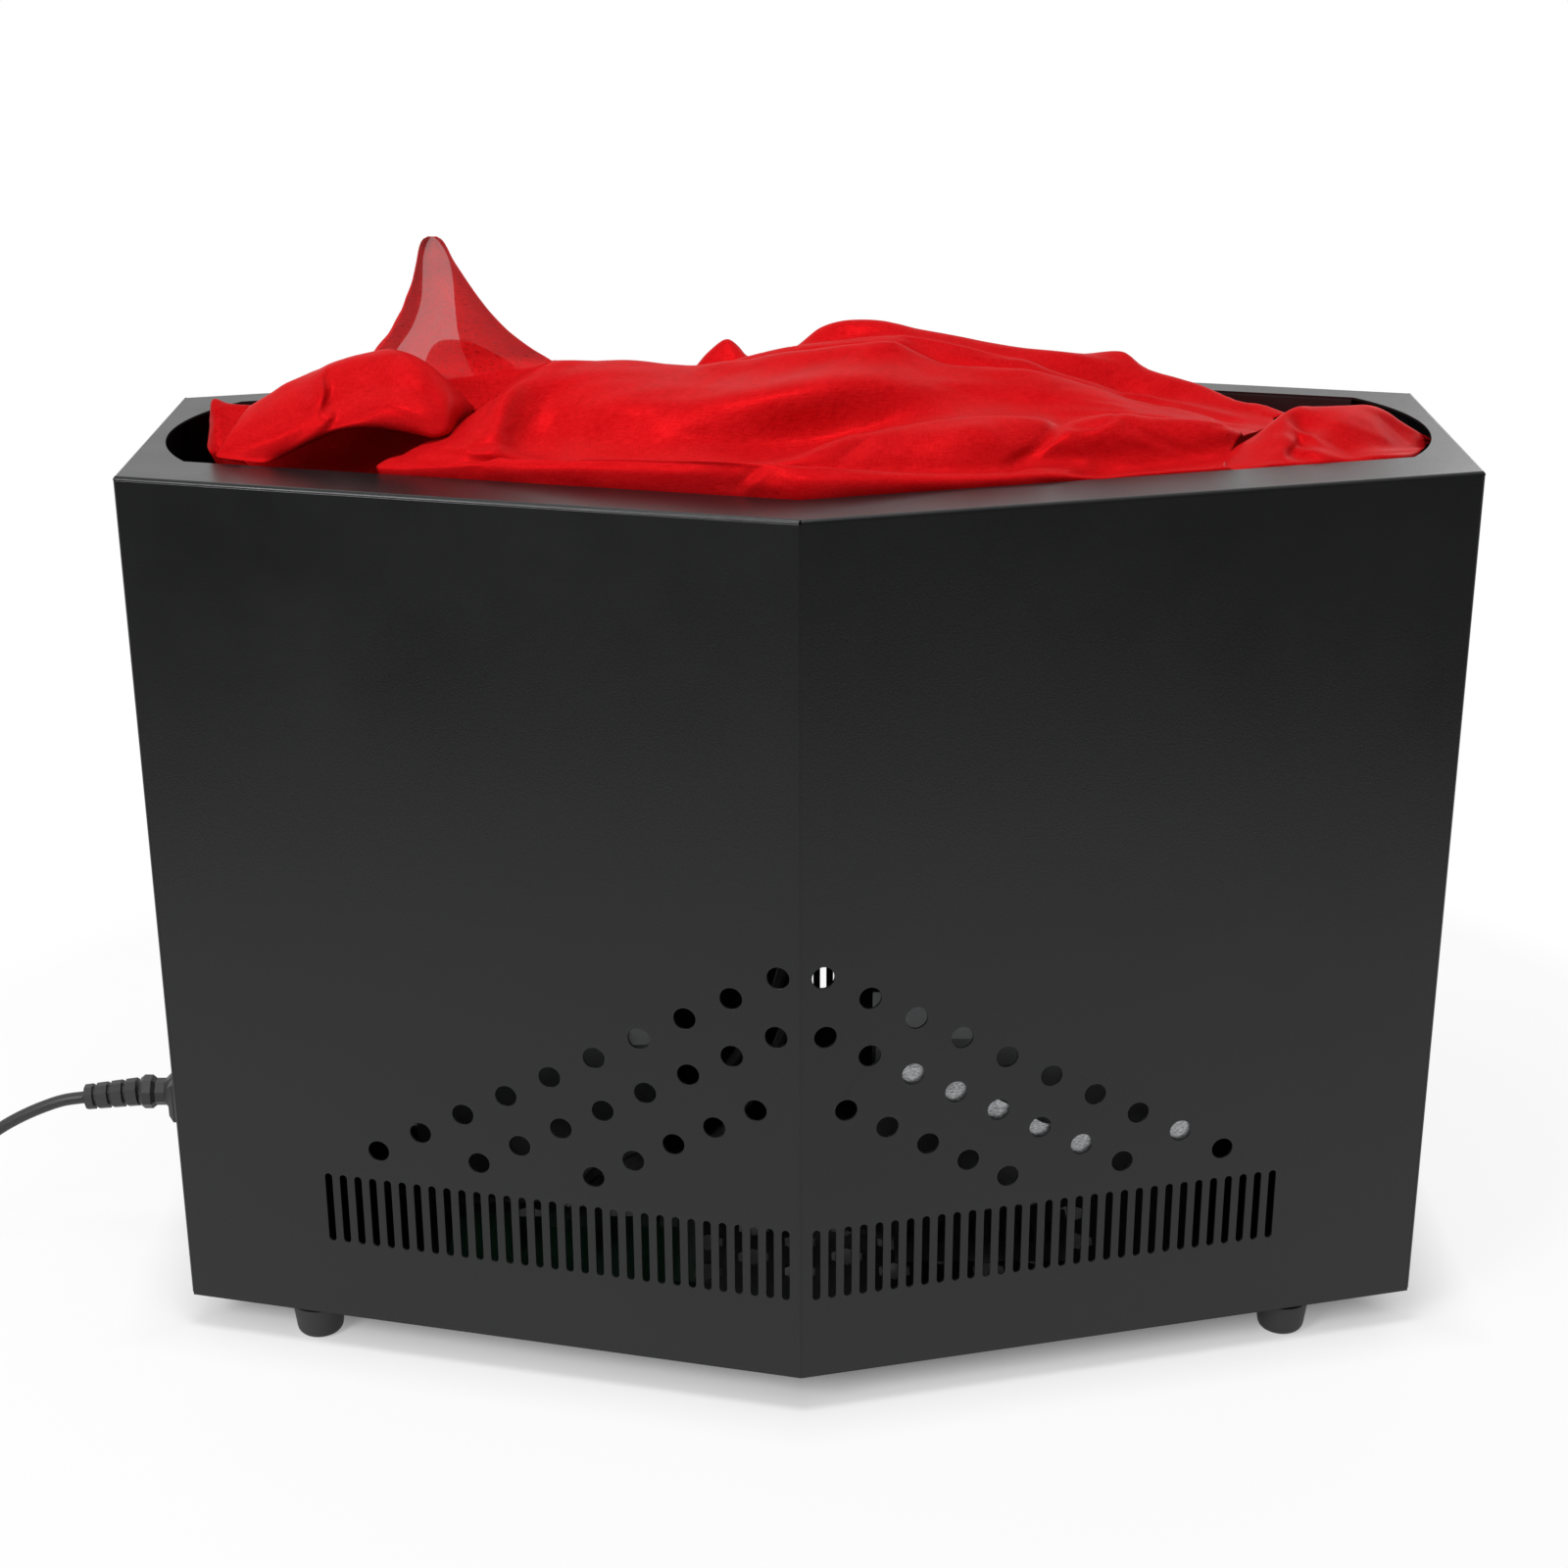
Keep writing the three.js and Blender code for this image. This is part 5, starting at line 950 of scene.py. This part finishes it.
# Tongue at the right: a satin roll and the puff at its end
tongue_rows = [
    [(150, 30, 408), (180, 60, 408), (205, 70, 408), (230, 66, 408), (252, 50, 409), (268, 30, 411),
     (277, 10, 414)],
    *draped_rows(RIGHT_PART, [
        [(1150, 470, -60), (1230, 452, -40), (1310, 430, -26), (1400, 392, -10), (1460, 352, 4),
         (1520, 332, 14), (1580, 330, 22), (1640, 326, 28), (1700, 326, 28), (1745, 340, 26),
         (1785, 362, 18), (1820, 384, 12), (1856, 400, 4)],
        [(1120, 490, -100), (1200, 468, -86), (1300, 438, -74), (1400, 386, -56), (1450, 348, -44),
         (1483, 326, -34), (1515, 312, -24), (1560, 311, -14), (1640, 307, -6), (1700, 308, -4),
         (1742, 324, -4), (1775, 348, -4), (1810, 372, -2), (1835, 388, 0), (1857, 400, 0)],
        [(1124, 492, -104), (1205, 476, -96), (1305, 452, -88), (1395, 412, -76), (1450, 380, -64),
         (1488, 362, -54), (1518, 368, -44), (1556, 352, -42), (1620, 334, -36), (1690, 336, -30),
         (1738, 350, -26), (1772, 370, -22), (1806, 386, -16), (1832, 396, -8), (1857, 401, -2)],
        [(1130, 494, -108), (1215, 482, -104), (1310, 464, -100), (1395, 438, -92), (1450, 418, -84),
         (1490, 402, -78), (1516, 402, -66), (1545, 384, -72), (1612, 384, -68), (1680, 386, -60),
         (1730, 392, -54), (1768, 400, -44), (1800, 406, -34), (1828, 406, -16), (1856, 403, -4)],
        [(1134, 495, -109), (1220, 486, -109), (1315, 476, -109), (1392, 462, -106), (1440, 452, -102),
         (1480, 440, -98), (1506, 440, -90), (1536, 424, -94), (1600, 424, -92), (1665, 424, -86),
         (1718, 424, -80), (1758, 424, -68), (1790, 422, -52), (1820, 416, -30), (1852, 405, -8)],
        [(1138, 496, -112), (1225, 490, -112), (1320, 483, -112), (1390, 472, -112), (1436, 464, -112),
         (1475, 461, -112), (1505, 459, -112), (1535, 457, -112), (1592, 453, -112), (1650, 449, -112),
         (1705, 445, -112), (1748, 441, -112), (1785, 436, -100), (1815, 428, -60), (1845, 412, -14)],
    ]),
    hem((132, 150, 175, 200, 225, 245, 262, 274, 279), 3.2, 414),
    hem((132, 150, 175, 200, 225, 243, 258, 268, 272), 7, 406),
]

# Creases of the folded sheets: height, width, and the places along each line, by part of the photograph
billow_creases = {
    LEFT_PART: [
        (0.9, 5, [(1492, 640), (1462, 664), (1424, 700)]),
        (-0.9, 5, [(1500, 656), (1476, 680), (1446, 706)]),
        (2.6, 8, [(922, 375), (830, 422), (792, 478), (780, 552), (782, 598)]),
        (-3.4, 11, [(880, 426), (828, 492), (812, 560), (822, 616)]),
        (-2.6, 20, [(925, 470), (872, 545), (862, 600)]),
        (-2.4, 16, [(1180, 520), (1320, 545), (1460, 560)]),
        (1.8, 10, [(1010, 385), (1120, 372), (1260, 372), (1400, 392)]),
        (0.9, 9, [(1560, 610), (1620, 590), (1700, 575)]),
        (-0.8, 7, [(640, 590), (620, 610), (600, 640)]),
        (0.8, 7, [(560, 604), (590, 618), (600, 644)]),
        (1.5, 5, [(850, 626), (1018, 616), (1245, 630), (1490, 640)]),
    ],
    RIGHT_PART: [
        (2.4, 5, [(908, 366), (882, 388), (835, 424), (770, 466)]),
        (-1.5, 6, [(915, 372), (940, 408), (968, 448), (985, 480)]),
        (2, 4.5, [(1050, 331), (1030, 346), (990, 362), (930, 362), (900, 360)]),
        (-2, 7, [(1044, 350), (1000, 374), (940, 376), (905, 374)]),
        (1.4, 4, [(1056, 336), (1102, 370), (1160, 400), (1238, 434)]),
        (-1, 8, [(1020, 396), (1060, 430), (1110, 462)]),
        (1.8, 7, [(1290, 350), (1335, 356), (1362, 372)]),
        (-2, 7, [(1300, 372), (1340, 378), (1372, 390)]),
        (1.6, 7, [(1342, 288), (1384, 300), (1424, 326)]),
        (-1.6, 7, [(1354, 300), (1396, 314), (1436, 334)]),
        (2.2, 8, [(1030, 262), (1080, 280), (1130, 292), (1190, 300)]),
        (-1.2, 16, [(150, 328), (260, 312), (360, 328)]),
        (2.2, 7, [(110, 172), (200, 152), (350, 134), (470, 128)]),
        (-2, 8, [(140, 190), (260, 168), (400, 150), (500, 150)]),
        (2.4, 7, [(480, 128), (560, 150), (660, 172), (780, 192)]),
        (-2.4, 8, [(500, 146), (600, 168), (720, 192), (840, 206)]),
        (1.2, 7, [(430, 380), (380, 420), (340, 450)]),
        (-1, 8, [(660, 360), (720, 380), (760, 420), (780, 452)]),
        (1.2, 7, [(1180, 400), (1240, 424), (1290, 440)]),
        (1.5, 5, [(235, 475), (425, 468), (710, 474), (918, 474), (965, 488)]),
    ],
}
hump_creases = {
    LEFT_PART: [
        (-0.9, 9, [(378, 392), (374, 430), (384, 476), (410, 528)]),
        (1, 5, [(366, 396), (362, 432), (370, 474), (394, 522)]),
        (1, 8, [(440, 440), (520, 424), (590, 432), (650, 460)]),
        (-1, 9, [(470, 492), (540, 486), (610, 500)]),
        (0.8, 9, [(150, 560), (220, 545), (300, 510), (360, 480)]),
        (-0.8, 8, [(170, 590), (240, 575), (320, 538)]),
        (1, 8, [(640, 440), (680, 490), (690, 540)]),
        (-1, 8, [(662, 430), (705, 478), (722, 520)]),
    ],
}
tongue_creases = {
    RIGHT_PART: [
        (-2.4, 9, [(1530, 378), (1500, 402), (1460, 440)]),
        (2.2, 8, [(1545, 378), (1520, 404), (1480, 446)]),
        (2, 8, [(1540, 372), (1600, 400), (1660, 440)]),
        (-1.6, 10, [(1580, 350), (1660, 372), (1740, 402)]),
        (1.6, 8, [(1720, 330), (1770, 372), (1800, 404)]),
    ],
}


def into_mouth(points, inset):
    """Brings cloth below the rim's level back within the mouth's edges, gently near that level."""
    front, rear = mouth_limits(points[..., 0], inset)
    share = np.clip((TOP + RIM_CLEARANCE - points[..., 2]) / RIM_FADE, 0, 1)
    y = points[..., 1]
    points[..., 1] = y + (np.clip(y, front, rear) - y) * share
    return points


def normals_of(grid):
    """The cloth's unit normal at every point of its grid."""
    along = np.gradient(grid, axis=1)
    across = np.gradient(grid, axis=0)
    normal = np.cross(along, across)
    return normal / np.maximum(np.linalg.norm(normal, axis=-1, keepdims=True), 1e-9)


def even_line(line, count):
    """Points at even steps along a line."""
    length = np.concatenate([[0], np.cumsum(np.linalg.norm(np.diff(line, axis=0), axis=1))])
    spots = np.linspace(0, length[-1], count)
    return np.stack([np.interp(spots, length, column) for column in line.T], axis=1)


def relax(grid, rounds):
    """Evens out the cloth between its rows, holding its edges."""
    for _ in range(rounds):
        near = (grid[:-2, 1:-1] + grid[2:, 1:-1] + grid[1:-1, :-2] + grid[1:-1, 2:]) / 4
        grid[1:-1, 1:-1] = grid[1:-1, 1:-1] * 0.5 + near * 0.5
    return grid


WRINKLE_ALONG, WRINKLE_ACROSS, WRINKLE_MARGIN, ROW_STEPS = 46.0, 30.0, 5.0, 10


def wrinkled(grid, amount, stretch, seed):
    """Small soft wrinkles: ridged noise drawn out along one way of the cloth."""
    normal = normals_of(grid)
    u = np.concatenate([[0], np.cumsum(np.linalg.norm(np.diff(grid.mean(axis=0), axis=0), axis=1))])
    v = np.concatenate([[0], np.cumsum(np.linalg.norm(np.diff(grid.mean(axis=1), axis=0), axis=1))])
    lift = np.zeros(grid.shape[:2])
    for j in range(grid.shape[0]):
        for i in range(grid.shape[1]):
            a, b = u[i] / WRINKLE_ALONG / stretch + seed, v[j] / WRINKLE_ACROSS
            soft = noise.noise((a, b, seed * 1.7))
            sharp = 1 - abs(noise.noise((a * 2.1, b * 2.1, seed + 4.0))) * 2.4
            lift[j, i] = soft * 0.65 + sharp * 0.35
    edge = np.minimum(1, np.arange(grid.shape[0]) / WRINKLE_MARGIN)
    edge = np.minimum(edge, edge[::-1])
    return grid + normal * (lift * amount * edge[:, None])[..., None]


def creased(grid, creases, samples=80):
    """Presses folds into the cloth along lines seen in the photograph, taken to whole millimetres."""
    away = grid - np.array(EYE)
    near = away @ np.array(forward) / CLOTH_DISTANCE
    across, up = away @ np.array(right) / near, away @ np.array(above) / near
    ease = np.sin(np.linspace(0.12, math.pi - 0.12, samples)) ** 0.5
    lift = np.zeros(grid.shape[:2])
    for part, lines in creases.items():
        for height, width, places in lines:
            line = even_line(np.round([seen(part, *place) for place in places]), samples)
            offsets = np.hypot(across[..., None] - line[:, 0], up[..., None] - line[:, 1])
            close = np.clip(1 - offsets.min(axis=-1) / width, 0, 1)
            lift += height * close**1.6 * ease[offsets.argmin(axis=-1)]
    return grid + normals_of(grid) * lift[..., None]


def sheet_from(name, grid, finish, thickness=0.25):
    """A cloth piece from a grid of points in millimetres, with its own map in metres."""
    down, along = grid.shape[0] - 1, grid.shape[1] - 1
    width = np.linalg.norm(np.diff(grid, axis=1), axis=-1).sum(axis=1).mean() * MM
    length = np.linalg.norm(np.diff(grid, axis=0), axis=-1).sum(axis=0).mean() * MM
    bm = bmesh.new()
    layer = bm.loops.layers.uv.new("weave")
    bmesh.ops.create_grid(bm, x_segments=along, y_segments=down, size=1)
    share = {}
    for vert in bm.verts:
        i = round((vert.co.x + 1) / 2 * along)
        j = round((1 - vert.co.y) / 2 * down)
        share[vert] = (i / along * width, j / down * length)
        vert.co = Vector(grid[j, i]) * MM
    for face in bm.faces:
        for loop in face.loops:
            loop[layer].uv = share[loop.vert]
    area = sum(face.calc_area() for face in bm.faces)
    mesh = bpy.data.meshes.new(name)
    bm.to_mesh(mesh)
    bm.free()
    piece = add_piece(mesh, name, finish, smooth=True)
    skin = piece.modifiers.new("thickness", "SOLIDIFY")
    skin.thickness = thickness * MM
    skin.offset = -1
    return piece, width, area


def cloth_piece(name, rows, creases, finish, count, steps, rounds, amount, stretch, seed):
    """A sheet through its rows, with this many points along and steps between rows, creased and wrinkled."""
    even_rows = [even_line(through(row, ROW_STEPS), count) for row in rows]
    grid = creased(relax(through(even_rows, steps), rounds), creases)
    grid = into_mouth(wrinkled(grid, amount, stretch, seed), CLOTH_INSET)
    piece, width, area = sheet_from(name, grid, finish)
    flat = (round(width, 3), round(area / width, 3))
    return piece


billow = cloth_piece("silk_billow", billow_rows, billow_creases, folded_silk, 260, 7, 3, 1.0, 1.6, 3.1)
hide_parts("silk_sheet")
cloth_piece("silk_hump", hump_rows, hump_creases, folded_silk, 150, 7, 2, 0.8, 1.5, 7.7)
cloth_piece("silk_flap", flap_rows, {}, sheer_silk, 40, 6, 1, 0.4, 1.5, 4.4)
cloth_piece("silk_under", under_rows, {}, folded_silk, 90, 6, 2, 1.2, 1.2, 1.3)
cloth_piece("silk_peak", peak_rows, {}, sheer_silk, 60, 6, 1, 0.35, 0.8, 5.9)
cloth_piece("silk_arch", arch_rows, {}, sheer_silk, 50, 6, 1, 0.5, 1.0, 9.2)
cloth_piece("silk_tongue", tongue_rows, tongue_creases, folded_silk, 130, 6, 2, 0.8, 1.4, 2.4)

# Studio: a pale floor glowing white away from the object, its glow held off round the footprint as painted
# shade over the real shadow, a white surround and soft lamps
def shown_plain(nodes, mirrored):
    """One where the eye looks at the backdrop, and the share mirrored where gloss or glass shows it."""
    eye, gloss, glass = (
        nodes.node("ShaderNodeLightPath", out=name)
        for name in ("Is Camera Ray", "Is Glossy Ray", "Is Transmission Ray")
    )
    return nodes.maths("MAXIMUM", eye, nodes.maths("MAXIMUM", gloss, glass) * mirrored)


def make_floor_finish():
    """Pale floor whose glow is held off in and beside the object's footprint, painted shade there over the real
    shadow, and that runs out into plain white.
    """
    finish = Finish("floor", (0.8, 0.8, 0.8), 0.9)
    place = finish.place()
    x = finish.maths("ABSOLUTE", finish.node("ShaderNodeSeparateXYZ", None, place))
    y = finish.maths("ABSOLUTE", finish.node("ShaderNodeSeparateXYZ", None, place, out=1))
    # Painted shade: the white glow fades out towards the housing's footprint, so the floor is darker under and
    # beside it
    beside = finish.remap(y + x * SLOPE, 0.1, 0.17, 0, 0.86)
    beyond = finish.remap(x, 0.25, 0.33, 0, 0.86)
    far = finish.remap(finish.maths("SQRT", x * x + y * y), 0.3, 0.6, 0, 1)
    glow_past_painted_shade = finish.maths("MAXIMUM", finish.maths("MAXIMUM", beside, beyond), far)
    white = finish.node("ShaderNodeEmission", None, Color=(1, 1, 1, 1), Strength=1.0)
    finish.show(finish.mixed(shown_plain(finish, 1) * glow_past_painted_shade, finish.principled, white))
    return finish


def make_surround():
    """White world for the eye; its light comes mostly from the rear and from above."""
    world = bpy.data.worlds.new("surround")
    world.use_nodes = True
    nodes = Nodes(world.node_tree)
    direction = nodes.node("ShaderNodeTexCoord")
    back = nodes.node("ShaderNodeSeparateXYZ", None, direction, out=1)
    upper = nodes.node("ShaderNodeSeparateXYZ", None, direction, out=2)
    light = nodes.remap(back, -0.6, 0.8, 0.08, 0.8) + nodes.remap(upper, 0.2, 0.9, 0.0, 0.2)
    plain = shown_plain(nodes, nodes.remap(back, -0.5, 0.2, 0.12, 1))
    backdrop = world.node_tree.nodes["Background"]
    nodes.plug(backdrop.inputs["Color"], (1, 1, 1, 1))
    nodes.plug(backdrop.inputs["Strength"], light * (1 - plain) + plain)
    return world


bm = bmesh.new()
bmesh.ops.create_circle(bm, cap_ends=True, segments=96, radius=1.0)
floor_mesh = mesh_from(bm, "floor", recalculate=False)
floor_mesh.materials.append(make_floor_finish().material)
floor = bpy.data.objects.new("floor", floor_mesh)
scene.collection.objects.link(floor)
scene.world = make_surround()


def softbox(name, place, aim, size, power):
    data = bpy.data.lights.new(name, "AREA")
    data.shape = "RECTANGLE"
    data.size, data.size_y = size
    data.energy = power
    lamp = bpy.data.objects.new(name, data)
    lamp.location = place
    lamp.rotation_euler = (Vector(aim) - Vector(place)).to_track_quat("-Z", "Y").to_euler()
    scene.collection.objects.link(lamp)


softbox("overhead", (-0.1, -0.4, 1.6), (0, 0, 0.4), (0.5, 0.35), 10.5)
softbox("left_front", (-1.2, -1.5, 1.3), (0, 0, 0.35), (0.6, 0.8), 25)
softbox("right_rear", (0.95, 1.35, 0.95), (0.1, 0, 0.4), (0.6, 0.5), 2.5)
scene.view_settings.view_transform = "Standard"
